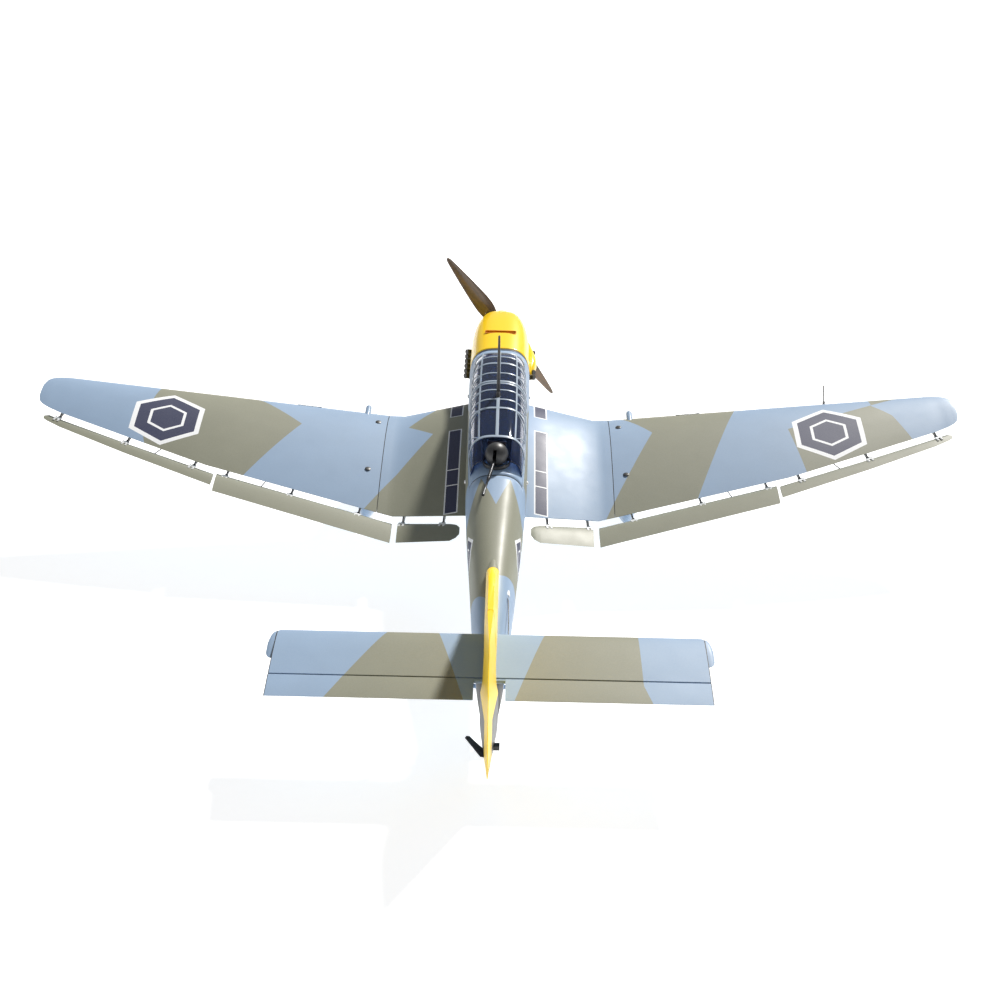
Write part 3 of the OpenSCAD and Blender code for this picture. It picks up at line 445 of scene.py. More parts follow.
class Solid:
    """Gathers lofts, plates and tubes in design millimetres and turns them into one piece."""

    def __init__(self, mirrored=False):
        self.mesh = bmesh.new()
        self.hand = MIRROR if mirrored else Matrix.Identity(4)

    def point(self, p):
        return self.mesh.verts.new(STANCE @ (self.hand @ Vector(p)))

    def loft(self, rings, closed=True, caps=True, under=None, at=Matrix.Identity(4)):
        """Skin through rings of equal length. Columns from under[0] to under[1] use material 1."""
        grid = [[self.point(at @ Vector(p)) for p in ring] for ring in rings]
        n = len(grid[0])
        for a, b in zip(grid, grid[1:]):
            for j in range(n if closed else n - 1):
                k = (j + 1) % n
                face = self.mesh.faces.new((a[j], a[k], b[k], b[j]))
                if under and under[0] <= j < under[1]:
                    face.material_index = 1
        if caps:
            for ring in (grid[0], grid[-1]):
                self.mesh.faces.new(ring)
        return self

    def plate(self, outline, z0, z1, at=Matrix.Identity(4)):
        return self.loft([[(x, y, z) for x, y in outline] for z in (z0, z1)], at=at)

    def box(self, low, high, at=Matrix.Identity(4)):
        (x0, y0, z0), (x1, y1, z1) = low, high
        return self.plate([(x0, y0), (x1, y0), (x1, y1), (x0, y1)], z0, z1, at)

    def turned(self, profile, at=Matrix.Identity(4), n=32, caps=True):
        """Solid of revolution about the local Z axis through (radius, height) points."""
        turns = [2 * pi * i / n for i in range(n)]
        return self.loft([[(r * cos(a), r * sin(a), z) for a in turns] for r, z in profile],
                         caps=caps, at=at)

    def tube(self, points, radius, n=12):
        """Round bar along points; radius may be one number or one for each point."""
        radii = radius if isinstance(radius, (list, tuple)) else [radius] * len(points)
        points = [Vector(p) for p in points]
        rings = []
        for i, (p, r) in enumerate(zip(points, radii)):
            ahead = (points[min(i + 1, len(points) - 1)] - points[max(i - 1, 0)]).normalized()
            side = ahead.cross(Vector((0.3, 0.2, 1)) if abs(ahead.z) < 0.9 else Vector((1, 0, 0)))
            side.normalize()
            up = ahead.cross(side)
            rings.append([p + r * (cos(a) * side + sin(a) * up)
                          for a in (2 * pi * j / n for j in range(n))])
        return self.loft(rings)

    def piece(self, name, materials, body, stands_for=(), crease=40, thick=0, bevel=0):
        bmesh.ops.recalc_face_normals(self.mesh, faces=self.mesh.faces)
        mesh = bpy.data.meshes.new(name)
        self.mesh.to_mesh(mesh)
        self.mesh.free()
        for material in materials if isinstance(materials, (list, tuple)) else [materials]:
            mesh.materials.append(material)
        mesh.shade_smooth()
        mesh.set_sharp_from_angle(angle=radians(crease))
        made = bpy.data.objects.new(name, mesh)
        scene.collection.objects.link(made)
        if thick:
            wall = made.modifiers.new("wall", "SOLIDIFY")
            wall.thickness = thick * MM
            wall.offset = -1
        if bevel:
            edge = made.modifiers.new("edge", "BEVEL")
            edge.width = bevel * MM
            edge.segments = 2
            edge.limit_method = "ANGLE"
        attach(made, body)
        if stands_for:
            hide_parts(*stands_for)
        return made


def spread(a, b, n):
    return [a + (b - a) * i / n for i in range(n + 1)]


def row_of(table, s):
    i = 0
    while i < len(table) - 2 and s >= table[i + 1][0]:
        i += 1
    return i


def slope(table, a, b, c):
    return (table[b][c] - table[a][c]) / (table[b][0] - table[a][0])


def track(table, s, c):
    """Smooth value of column c at station s."""
    last = len(table) - 1
    i = row_of(table, s)
    h = table[i + 1][0] - table[i][0]
    u = (s - table[i][0]) / h
    m0 = slope(table, max(i - 1, 0), i + 1, c)
    m1 = slope(table, i, min(i + 2, last), c)
    return ((2 * u ** 3 - 3 * u ** 2 + 1) * table[i][c] + (u ** 3 - 2 * u ** 2 + u) * h * m0
            + (3 * u ** 2 - 2 * u ** 3) * table[i + 1][c] + (u ** 3 - u ** 2) * h * m1)


def ramp(table, s, c):
    """Straight-line value of column c at station s."""
    i = row_of(table, s)
    return table[i][c] + slope(table, i, i + 1, c) * (s - table[i][0])


def signed_power(v, p):
    return copysign(abs(v) ** (2 / p), v)


def body_ring(table, s):
    n = 72
    w, hi, lo, p = (track(table, s, c) for c in (1, 2, 3, 4))
    turns = [2 * pi * (i + 0.5) / n for i in range(n)]
    return [(w * signed_power(cos(a), p), s,
             (hi + lo) / 2 + (hi - lo) / 2 * signed_power(sin(a), p)) for a in turns]


def arch_point(s, a, w, base, top):
    p = 3
    return (w * signed_power(cos(a), p), s, base + (top - base) * signed_power(sin(a), p))


def half_thick(u, t):
    return 5 * t * (0.2969 * sqrt(u) - 0.126 * u - 0.3516 * u ** 2 + 0.2843 * u ** 3
                    - 0.1015 * u ** 4)


def camber(u, m):
    return m / 0.16 * (0.8 * u - u ** 2) if u < 0.4 else m / 0.36 * (0.2 + 0.8 * u - u ** 2)


def foil_ring(st, m=0.02, n=22):
    """Closed wing section: the top from the trailing edge forward, then the bottom back."""
    chord = st[3] - st[1]
    shares = [(1 - cos(pi * i / n)) / 2 for i in range(n + 1)]

    def at(u, side):
        return (st[0], st[1] + u * chord,
                st[2] + u * (st[4] - st[2]) + chord * (camber(u, m) + side * half_thick(u, st[5])))

    return [at(u, 1) for u in reversed(shares)] + [at(u, -1) for u in shares[1:]]


def station(table, x):
    return [x] + [ramp(table, x, c) for c in range(1, 6)]


def hinge_frame(line, x):
    """Frame on a hinge line at station x: X down, Y aft, Z along the line."""
    a, b = Vector(line[0]), Vector(line[1])
    d = b - a
    at = a + d * ((x - a.x) / d.x)
    return (move(at) @ about("Z", atan2(d.y, d.x))
            @ about("Y", acos(d.z / d.length)))


def hands():
    return (("left", False), ("right", True))


def once(side, node):
    """The left piece stands for a node that holds both sides."""
    return [node] if side == "left" else ()


# ---- outlines, as in the design ------------------------------------------------------------------

# Station, half width, top, bottom, roundness of the section
BODY = [(430, 77, 92, -118, 3.1), (530, 76, 94, -118, 3.2), (700, 73, 95, -117, 3.2),
        (920, 70, 95, -107, 3.0), (1100, 62, 94, -93, 2.7), (1325, 47, 88, -72, 2.4),
        (1450, 39, 76, -61, 2.3), (1520, 33, 66, -55, 2.3), (1600, 26, 58, -49, 2.3),
        (1661, 18, 52, -45, 2.3)]
NOSE = [(112, 55, 36, -80, 2.5), (150, 59, 57, -86, 2.9), (210, 69, 73, -93, 3.1),
        (270, 75, 81, -102, 3.2), (340, 77, 87, -111, 3.2), (429, 77, 92, -118, 3.1)]
THRUST_Z = -24
SEAM_Y = 430
# Station, half width, upper edge, bottom
BATH = [(133, 40, -52, -132), (170, 50, -58, -150), (246, 57, -72, -160), (330, 52, -84, -150),
        (400, 40, -92, -132), (412, 35, -95, -128)]
SILL = 61
# Station, half width at the sill, crown
GLASS = [(473, 62, 98), (496, 63, 116), (520, 63, 127), (570, 65, 142), (640, 66, 149),
         (760, 66, 153), (850, 65, 149), (920, 63, 144), (938, 62, 141), (960, 60, 130),
         (985, 57, 112)]
# Station, leading edge y and z, trailing edge y and z, thickness ratio
WING = [(280, 466, -98, 876, -110, 0.14), (700, 484, -36, 779, -49, 0.125),
        (1060, 501, 17, 650, 5, 0.11), (1090, 505, 22, 637, 10, 0.10), (1108, 511, 25, 628, 14, 0.095),
        (1120, 520, 27, 619, 17, 0.09), (1127, 532, 28, 609, 20, 0.085), (1130, 548, 28, 596, 23, 0.08)]
CENTER = [(0, 444, -72, 921, -84, 0.15), (77, 444, -72, 919, -84, 0.15),
          (242, 460, -103, 886, -114, 0.14), (280, 466, -98, 876, -110, 0.14)]
# Height, leading edge, half thickness
FIN = [(44, 1338, 10), (88, 1345, 12), (120, 1387, 12), (160, 1440, 11.5), (200, 1494, 10),
       (225, 1534, 8), (239, 1566, 6.5), (246, 1602, 5)]
# Height, trailing edge, half thickness at the hinge
RUDDER = [(-48, 1788, 12), (-42, 1797, 15), (0, 1800, 17), (50, 1800, 17), (80, 1800, 13),
          (120, 1800, 11.5), (200, 1799, 9), (225, 1794, 7.5), (239, 1782, 6), (246, 1762, 5)]
RUDDER_Y = 1680
STAB_Z = 62
ELEVATOR_Y, ELEVATOR_TE = 1653, 1704
NOSE_R = 4.6
GAP = 1.2
GUN = (0, 968, 118)
GUN_YAW, GUN_DROOP = radians(10), radians(4)
BALL_R = 26
MAST_Y = 765
PROP_Y = 90
PARK = radians(54)
# Surfaces hung below the trailing edge. Rows: station, leading edge, trailing edge, height
HUNG = {
    "aileron": dict(
        table=[(674, 796, 841, -65.5), (890, 722, 760, -33.5), (1060, 660, 689, -8.5),
               (1096, 645, 669, -3.5), (1107, 649, 660, -2)],
        line=((674, 790.5, -66), (1096, 640.5, -4)), hinges=(724, 894, 1070), horn=(837, 25)),
    "outer_flap": dict(
        table=[(243, 896, 970, -129), (666, 793, 863, -67)],
        line=((243, 891.5, -130), (666, 788.5, -68)), hinges=(324, 486, 644), horn=(570, 30)),
    "inner_flap": dict(
        table=[(82, 946, 970, -98.5), (90, 934, 984, -100), (104, 927, 992, -103),
               (229, 898, 971, -127)],
        line=((104, 922, -104), (229, 893.5, -128)), hinges=(121, 217), horn=None),
}
# Servo shafts: surface, station, rise above the hinge, run ahead of it
SERVOS = (("aileron", 837, 20, 139), ("outer_flap", 570, 19, 188))
HUNG_THICK = 0.13


def slice_mesh(solid, point, normal):
    """Adds an edge loop where a plane crosses the mesh."""
    geometry = solid.mesh.verts[:] + solid.mesh.edges[:] + solid.mesh.faces[:]
    bmesh.ops.bisect_plane(solid.mesh, geom=geometry, plane_co=STANCE @ Vector(point),
                           plane_no=TIP_BACK @ Vector(normal), dist=1e-7)


def drop_faces(solid, unwanted):
    """Removes the faces whose centre, in design millimetres, is unwanted."""
    home = STANCE.inverted()
    gone = [f for f in solid.mesh.faces if unwanted(home @ f.calc_center_median())]
    bmesh.ops.delete(solid.mesh, geom=gone, context="FACES")


def carve(made, solid):
    """Cuts a closed solid out of a finished piece."""
    bmesh.ops.recalc_face_normals(solid.mesh, faces=solid.mesh.faces)
    mesh = bpy.data.meshes.new("cutter")
    solid.mesh.to_mesh(mesh)
    solid.mesh.free()
    cutter = bpy.data.objects.new("cutter", mesh)
    scene.collection.objects.link(cutter)
    cut = made.modifiers.new("cut", "BOOLEAN")
    cut.object = cutter
    cut.operation = "DIFFERENCE"
    cut.solver = "EXACT"
    graph = bpy.context.evaluated_depsgraph_get()
    carved = bpy.data.meshes.new_from_object(made.evaluated_get(graph))
    made.modifiers.clear()
    made.data = carved
    bpy.data.objects.remove(cutter)
    return made


# ---- body ----------------------------------------------------------------------------------------

HATCH = (440, 1018, 60)


def build_body(m):
    y0, y1, z = HATCH
    skin = Solid()
    skin.loft([body_ring(BODY, s) for s in spread(SEAM_Y, 1661, 80)], caps=False)
    for y in (y0, y1):
        slice_mesh(skin, (0, y, 0), (0, 1, 0))
    slice_mesh(skin, (0, 0, z), (0, 0, 1))
    drop_faces(skin, lambda c: c.z > z and y0 < c.y < y1)
    skin.piece("body_skin", m["body"], "airframe", ["fuselage"], thick=2.5)

    knobs = Solid()
    for y in (928, 542):
        for x in (-1, 1):
            flat = move((x * track(BODY, y, 1) * 0.995, y, 16)) @ about("Y", x * pi / 2)
            knobs.turned([(0.1, -1), (4.5, -1), (4.5, 1), (3.4, 3), (0.1, 3.6)], flat, 24)
    knobs.piece("canopy_latch_knobs", m["nylon"], "airframe")


def build_nose(m):
    cowl = Solid().loft([body_ring(NOSE, s) for s in spread(112, SEAM_Y - 1, 40)], caps=False)
    made = cowl.piece("cowl_shell", m["yellow"], "airframe", ["cowl"], thick=2)
    slot_y, slot_x, slot_r = 326, 34, 6

    def stadium(r, reach):
        turns = [pi * i / 12 for i in range(13)]
        return ([(reach + r * sin(a), slot_y + r * cos(a)) for a in turns]
                + [(-reach - r * sin(a), slot_y - r * cos(a)) for a in turns])

    carve(made, Solid().plate(stadium(slot_r, slot_x), 76, 105))
    # Painted shade: the tray in the cowl slot is orange, the shaded yellow of the recess
    tray = Solid()
    tray.loft([[(x, y, 80) for x, y in stadium(slot_r - 2, slot_x)],
               [(x, y, 79.5) for x, y in stadium(slot_r, slot_x)],
               [(x, y, 86.2) for x, y in stadium(slot_r, slot_x)],
               [(x, y, 86.2) for x, y in stadium(slot_r + 1.5, slot_x)]], caps=False)
    tray.plate(stadium(slot_r, slot_x), 78.5, 79.5)
    tray.piece("cowl_slot_tray", m["orange"], "airframe")

    def bath_ring(s):
        n = 48
        w, edge, low = (track(BATH, s, c) for c in (1, 2, 3))
        return [arch_point(s, pi * i / n, w, edge, low) for i in range(n + 1)]

    bath = Solid().loft([bath_ring(s) for s in spread(133, 412, 32)], closed=False, caps=False)
    bath.piece("radiator_bath", m["yellow"], "airframe", ["chin_radiator"], thick=2)
    core = Solid()
    for i in range(5):
        core.box((-41, 150, -132 + 14 * i), (41, 160, -130 + 14 * i))
    core.piece("radiator_slats", m["yellow"], "airframe", bevel=0.6)

    pipes = Solid()
    for mirrored in (1, -1):
        for i in range(6):
            y = 284 + 26 * i
            path = [(70, y - 2, -2), (79, y + 3, 4), (85, y + 6, 6), (89, y + 9, 7)]
            pipes.tube([(mirrored * x, yy, z) for x, yy, z in path], [6.5, 6.8, 7, 6.6], 20)
    pipes.piece("exhaust_pipes", m["black"], "airframe", ["exhaust_stubs"], crease=50)


def build_intake(m):
    rings = []
    for u in spread(0, 1, 32):
        w = 3 + 14 * sin(radians(175 * u ** 1.6)) ** 0.7
        rings.append([(-74 - w / 2 - w * cos(radians(10 * j)) / 1.3, 240 + 164 * u,
                       3 + (w + 4) * sin(radians(10 * j))) for j in range(36)])
    Solid().loft(rings).piece("intake_bulge", m["yellow"], "airframe", ["intake_scoop"])


# ---- wings ---------------------------------------------------------------------------------------

FOIL_N = 22
UNDER = (FOIL_N, 2 * FOIL_N)


def build_wings(m):
    outer = [242, 261, 280]
    inner = spread(77, 200, 3)
    xs = [-x for x in reversed(inner + outer)] + spread(-40, 40, 2) + inner + outer
    rings = []
    for x in xs:
        st = station(CENTER, abs(x))
        rings.append([(copysign(p[0], x) if x else 0, p[1], p[2]) for p in foil_ring(st)])
    Solid().loft(rings, under=UNDER).piece("wing_center_skin", [m["wing"], m["under"]], "airframe",
                                          ["wing_center"])
    xs = [280.7] + spread(330, 1060, 12) + spread(1070, 1130, 12)
    for side, mirrored in hands():
        rings = [foil_ring(station(WING, x) if x < 1060 else [x] + [track(WING, x, c) for c in range(1, 6)])
                 for x in xs]
        made = Solid(mirrored).loft(rings, under=UNDER).piece(
            f"wing_skin_{side}", [m["wing"], m["under"]], "airframe", [f"wing_panel_{side}"])
        for name, x, rise, run in SERVOS:
            shaft = hinge_frame(HUNG[name]["line"], x) @ move((-rise, -run, 0))
            carve(made, Solid(mirrored).box((0, -26, -6), (44, 22, 6), shaft))
        build_wing_fittings(m, side, mirrored)


def build_wing_fittings(m, side, mirrored):
    caps = Solid(mirrored)
    for x, u in ((303, 0.19), (312, 0.68)):
        st = station(WING, x)
        chord = st[3] - st[1]
        top = Vector((x, st[1] + u * chord, st[2] + u * (st[4] - st[2])
                      + chord * (camber(u, 0.02) + half_thick(u, st[5]))))
        at = move(top) @ about("Y", radians(-8))
        caps.turned([(0.1, 0), (7, 0), (7, 1.4), (5.6, 2), (0.1, 2.2)], at, 28)
    caps.piece(f"root_bolt_caps_{side}", m["black"], "airframe", once(side, "joint_caps"))

    lens, frame_ring = Solid(mirrored), Solid(mirrored)

    def nose_strip(x, reach, grow):
        st = station(WING, x)
        st[1] -= grow
        ring = foil_ring(st, n=60)
        middle = 60
        return [(p[0], p[1], p[2] + grow * (1 if i < reach else -1) * min(1, abs(i - reach) / 6))
                for i, p in enumerate(ring[middle - reach:middle + reach + 1])]

    lens.loft([nose_strip(x, 7, 1.0) for x in spread(458, 508, 8)], closed=False, caps=False)
    lens.piece(f"landing_light_lens_{side}", m["lens"], "airframe",
               once(side, "landing_lights"), thick=0.8)
    for x in (454, 508):
        frame_ring.loft([nose_strip(v, 8, 1.2) for v in (x, x + 4)], closed=False, caps=False)
    frame_ring.piece(f"landing_light_frame_{side}", m["frame"], "airframe", thick=1)

    pod = Solid(mirrored)
    nose = [(8 * sin(a), 454 - 8 * cos(a)) for a in spread(0.02, pi / 2, 8)]
    tail = [(8 * cos(a), 498 + 8 * sin(a)) for a in spread(0, pi / 2 - 0.02, 8)]
    lie = move((336, 0, -77)) @ about("X", -pi / 2)
    pod.turned(nose + tail, lie, 28)
    pod.piece(f"siren_pod_{side}", m["grey"], "airframe", once(side, "sirens"))


def build_hung(m):
    """Ailerons and flaps with their lugs, link pins and horns."""
    for side, mirrored in hands():
        for name, part in HUNG.items():
            table = part["table"]
            body = f"{name}_{side}"
            sections = []
            for x in sorted({r[0] for r in table} | set(spread(table[0][0], table[-1][0], 12))):
                lead, trail, z = (ramp(table, x, c) for c in (1, 2, 3))
                sections.append(foil_ring([x, lead, z, trail, z - 1, HUNG_THICK], m=0, n=12))
            skin = Solid(mirrored).loft(sections, under=(12, 24))
            skin.piece(f"{body}_skin", [m["olive"], m["under"]], body, [body])
            build_fittings(m, Solid(mirrored), body, part)
            plates = Solid(mirrored)
            face_up = about("Y", -pi / 2)
            for x in part["hinges"]:
                at = hinge_frame(part["line"], x)
                plates.box((-5.4, 4.5, -8), (-3.2, 11, 8), at)
                for z in (-5, 5):
                    plates.box((-5, 4.5, z - 2.4), (-3, 18, z + 2.4), at)
                    plates.turned([(0.1, 0), (1.5, 0), (1.2, 0.7), (0.1, 0.8)],
                                  at @ move((-5, 14, z)) @ face_up, 12)
            plates.piece(f"{body}_hinge_plates", m["nylon"], body, bevel=0.3)


def build_fittings(m, solid, body, part):
    inside, lug = 1.9, 1.6
    arc = [(3.5 * cos(a), 3.5 * sin(a)) for a in spread(pi, 2 * pi, 12)]
    for x in part["hinges"]:
        at = hinge_frame(part["line"], x)
        for z in (inside, -inside - lug):
            solid.plate(arc + [(2.5, 16), (-2.5, 16)], z, z + lug, at)
        solid.turned([(1.5, -inside - lug - 0.8), (1.5, inside + lug + 0.8)], at, 16)
    if part["horn"]:
        x, length = part["horn"]
        at = hinge_frame(part["line"], x)
        solid.plate([(0, 5), (1, 20), (length + 2, 3), (length + 4, 0), (length + 2, -3),
                     (length - 4, -3)], -1, 1, at)
        solid.turned([(1.2, -1), (1.2, 5)], at @ move((length, 0, 0)), 16)
    solid.piece(f"{body}_fittings", m["black"], body, crease=30)


# ---- tail ----------------------------------------------------------------------------------------


def nose_section(r, chord, n=14):
    arc = [(r * cos(a), r * sin(a)) for a in spread(pi / 2, 1.5 * pi, n)]
    return arc + [(chord, -0.7), (chord, 0.7)]


def build_tailplane(m):
    te = ELEVATOR_Y - NOSE_R - GAP
    total = ELEVATOR_TE - 1520
    for side, mirrored in hands():
        tail = Solid(mirrored)
        table = [(8, 1520), (390, 1520), (400, 1523), (405, 1528)]
        n = 16
        rings = []
        for x in spread(8, 390, 8) + [396, 400, 405]:
            lead = ramp(table, x, 1)
            half = []
            for i in range(n + 1):
                y = lead + (te - lead) * (1 - cos(pi / 2 * i / n))
                half.append((y, max(0.3, total * half_thick(max((y - 1520) / total, 1e-4), 0.075))))
            rings.append([(x, y, STAB_Z + t) for y, t in reversed(half)]
                         + [(x, y, STAB_Z - t) for y, t in half[1:]])
        tail.loft(rings, under=(n, 2 * n))
        cap = [(405, 1524, 1602), (411, 1528, 1600), (415, 1538, 1596), (418, 1556, 1588)]
        tail.loft([foil_ring([x, track(cap, x, 1), STAB_Z, track(cap, x, 2), STAB_Z, 0.15], 0, 14)
                   for x in spread(405, 418, 8)], under=(14, 28))
        tail.piece(f"stabilizer_skin_{side}", [m["tailplane"], m["under"]], "airframe",
                   once(side, "stabilizer"))
        flap = Solid(mirrored)
        n = 14
        outline = nose_section(NOSE_R, ELEVATOR_TE - ELEVATOR_Y, n)
        rings = [[(x, ELEVATOR_Y + p, STAB_Z + q) for p, q in outline] for x in spread(29, 405, 10)]
        flap.loft(rings, under=(n // 2, n + 1))
        if not mirrored:
            flap.tube([(-41, ELEVATOR_Y, STAB_Z), (49, ELEVATOR_Y, STAB_Z)], 4, 20)
        flap.piece(f"elevator_skin_{side}", [m["tailplane"], m["under"]], "elevators", [f"elevator_{side}"])


def fin_side(lead, te, t):
    """Half of a fin section: a round leading edge, parallel sides and a slight taper behind."""
    nose = [(lead + 1.5 * t * (1 - cos(a)), t * sin(a)) for a in spread(0, pi / 2, 9)]
    waist = lead + 0.7 * (te - lead)
    return nose + [(y, t) for y in spread(nose[-1][0], waist, 4)[1:]] + [(te, 0.9 * t)]


def build_fin(m):
    rings = []
    for z in spread(44, 225, 22) + spread(229, 246, 7):
        lead, t = track(FIN, z, 1), track(FIN, z, 2)
        te = RUDDER_Y - max(track(RUDDER, z, 2), 5) - GAP
        side = fin_side(lead, te, t)
        rings.append([(-w, y, z) for y, w in reversed(side[1:])] + [(0, lead, z)]
                     + [(w, y, z) for y, w in side[1:]])
    fin = Solid().loft(rings)
    fin.box((-10, 1642, -38), (10, 1661, 48))
    fin.piece("fin_skin", m["fin"], "airframe", ["fin"])
    fillet = [[(w * cos(a), y, 84 + h * sin(a)) for a in spread(0, pi, 12)]
              for y, w, h in ((1308, 2, 2), (1322, 7, 6), (1338, 10, 10), (1352, 12, 12))]
    Solid().loft(fillet).piece("fin_fillet", m["olive"], "airframe")
    rudder = Solid()
    rings = []
    for z in spread(-48, -42, 3) + spread(-20, 225, 24) + spread(229, 246, 7):
        t, te = track(RUDDER, z, 2), min(track(RUDDER, z, 1), 1800)
        rings.append([(-q, RUDDER_Y + p, z) for p, q in nose_section(t, te - RUDDER_Y, 16)])
    rudder.loft(rings)
    rudder.piece("rudder_skin", m["rudder"], "rudder", ["rudder"])
    horn = Solid()
    horn.plate([(6, 1728), (35, 1693), (40, 1692), (43, 1697), (14, 1744), (6, 1746)], -39, -37)
    horn.turned([(1.2, -41), (1.2, -34)], move((38, 1697, 0)), 12)
    horn.box((-21, 1712, -44), (-8, 1722, -34))
    horn.piece("rudder_horn", m["black"], "rudder")
    wire = Solid()
    wire.tube([(-29, 1395, 62), (-32, 1420, 63), (-33, 1500, 60), (-32, 1570, 52)], 1.1, 10)
    wire.piece("elevator_pushrod", m["gunmetal"], "airframe")
    exit_cover = [[(-30 + w * cos(a), y, 58 + h * sin(a)) for a in spread(0, pi, 10)]
                  for y, w, h in ((1368, 1, 2), (1378, 4, 6), (1392, 5, 8), (1400, 4, 7))]
    Solid().loft(exit_cover).piece("pushrod_exit", m["nylon"], "airframe")


# ---- canopy --------------------------------------------------------------------------------------


def glass_at(s, a, grow=0.0):
    return Vector(arch_point(s, a, track(GLASS, s, 1) + grow, SILL, track(GLASS, s, 2) + grow))


def strip_on_glass(solid, path, width, rise):
    """A flat bar along (station, angle) points on the glazing."""
    sink = 0.5
    centre = [glass_at(s, a) for s, a in path]
    out = [(glass_at(s, a, 1.0) - glass_at(s, a, -1.0)).normalized() for s, a in path]
    rings = []
    for i, (p, up) in enumerate(zip(centre, out)):
        ahead = (centre[min(i + 1, len(path) - 1)] - centre[max(i - 1, 0)]).normalized()
        side = ahead.cross(up).normalized() * width / 2
        rings.append([p - side - up * sink, p + side - up * sink, p + side + up * rise,
                      p + up * (rise + 0.3), p - side + up * rise])
    solid.loft(rings)


def build_canopy(m):
    panes = Solid()
    n = 48
    panes.loft([[glass_at(s, pi * i / n) for i in range(n + 1)] for s in spread(473, 985, 80)],
               closed=False, caps=False)
    slice_mesh(panes, (0, 938, 0), (0, 1, 0))
    drop_faces(panes, lambda c: c.y > 938 and abs(c.x) < 31)
    panes.piece("canopy_panes", m["glass"], "hatch", ["canopy_glazing"], crease=60, thick=1.2)

    bars = Solid()
    quarter, shoulder = pi / 2, radians(59)
    around = spread(0.02, pi - 0.02, 40)
    for s, width, rise in ((477, 7, 1.2), (516, 4, 1.2), (565, 4, 1.2), (607, 6, 1.2), (661, 4, 1.2),
                           (706, 6, 2.6), (714, 5, 1.2), (746, 4, 1.2), (788, 4, 1.2), (824, 6, 1.6),
                           (933, 7, 1.2)):
        strip_on_glass(bars, [(s, a) for a in around], width, rise)
    rails = ((quarter, 7), (shoulder, 4), (pi - shoulder, 4), (0.12, 5), (pi - 0.12, 5))
    for angle, width in rails:
        strip_on_glass(bars, [(s, angle) for s in spread(475, 934, 60)], width, 1.25)
    for angle in (radians(25), radians(155)):
        strip_on_glass(bars, [(s, angle) for s in spread(540, 930, 50)], 2, 0.9)
    bays = (565, 607, 661, 710, 746, 788, 824, 878, 932)
    for left in (False, True):
        low, high = (0.12, shoulder) if not left else (pi - 0.12, pi - shoulder)
        for i, (a, b) in enumerate(zip(bays, bays[1:])):
            ends = ((a, low), (b, high)) if i % 2 else ((a, high), (b, low))
            strip_on_glass(bars, [(ends[0][0] + (ends[1][0] - ends[0][0]) * t,
                                   ends[0][1] + (ends[1][1] - ends[0][1]) * t) for t in spread(0, 1, 14)],
                           2, 0.8)
    for angle in (radians(8), radians(172)):
        strip_on_glass(bars, [(s, angle) for s in spread(934, 984, 10)], 4, 1.1)
    bars.piece("canopy_frame_bars", m["frame"], "hatch", ["canopy_frames"], crease=30)

    y0, y1, z = HATCH
    deck = Solid()
    deck.loft([body_ring(BODY, s) for s in spread(y0 + 0.7, y1 - 0.7, 40)], caps=False)
    slice_mesh(deck, (0, 0, z + 0.7), (0, 0, 1))
    for y in (472, 956):
        slice_mesh(deck, (0, y, 0), (0, 1, 0))
    for x in (-56, 56):
        slice_mesh(deck, (x, 0, 0), (1, 0, 0))
    drop_faces(deck, lambda c: c.z < z + 0.7 or (472 < c.y < 956 and abs(c.x) < 56))
    deck.piece("hatch_skin", m["body"], "hatch", ["hatch_deck"], thick=2.5)

    mast = Solid()
    crown = track(GLASS, MAST_Y, 2)
    mast.tube([(0, MAST_Y, crown), (0, MAST_Y - 1, crown + 70), (0, MAST_Y - 3, crown + 149)],
              [4.4, 3.6, 2.4], 16)
    steps = ((1.1, -2), (1, 1), (0.75, 6), (0.5, 10))
    foot = [[(5.5 * k * cos(a), MAST_Y + 2 + 17 * k * sin(a), crown + h)
             for a in spread(0, 2 * pi - 0.2, 24)] for k, h in steps]
    mast.loft(foot)
    mast.piece("aerial_with_foot", m["black"], "hatch", ["aerial_mast"], crease=50)


def build_cockpit(m):
    panel = Solid()
    panel.plate([(-50, 34), (50, 34), (50, 92), (30, 104), (-30, 104), (-50, 92)], -548, -544,
                about("X", pi / 2))
    panel.piece("instrument_panel", m["black"], "hatch", bevel=1)
    dials = Solid()
    faces = ((-30, 84, 8), (-8, 88, 9), (14, 88, 9), (34, 82, 7), (-28, 62, 7), (-8, 64, 8), (14, 64, 8))
    for x, z, r in faces:
        dials.turned([(0.1, 0), (r - 1.5, 0), (r - 1.5, 1.4), (r, 1.4), (r, 0)],
                     move((x, 548, z)) @ about("X", -pi / 2), 24)
    dials.piece("instrument_dials", m["nylon"], "hatch")
    seats = Solid()
    for y in (640, 860):
        seats.box((-21, y, 45), (21, y + 36, 53))
        seats.box((-21, y + 28, 50), (21, y + 36, 104))
    seats.piece("seat_pads", m["leather"], "hatch", bevel=3)


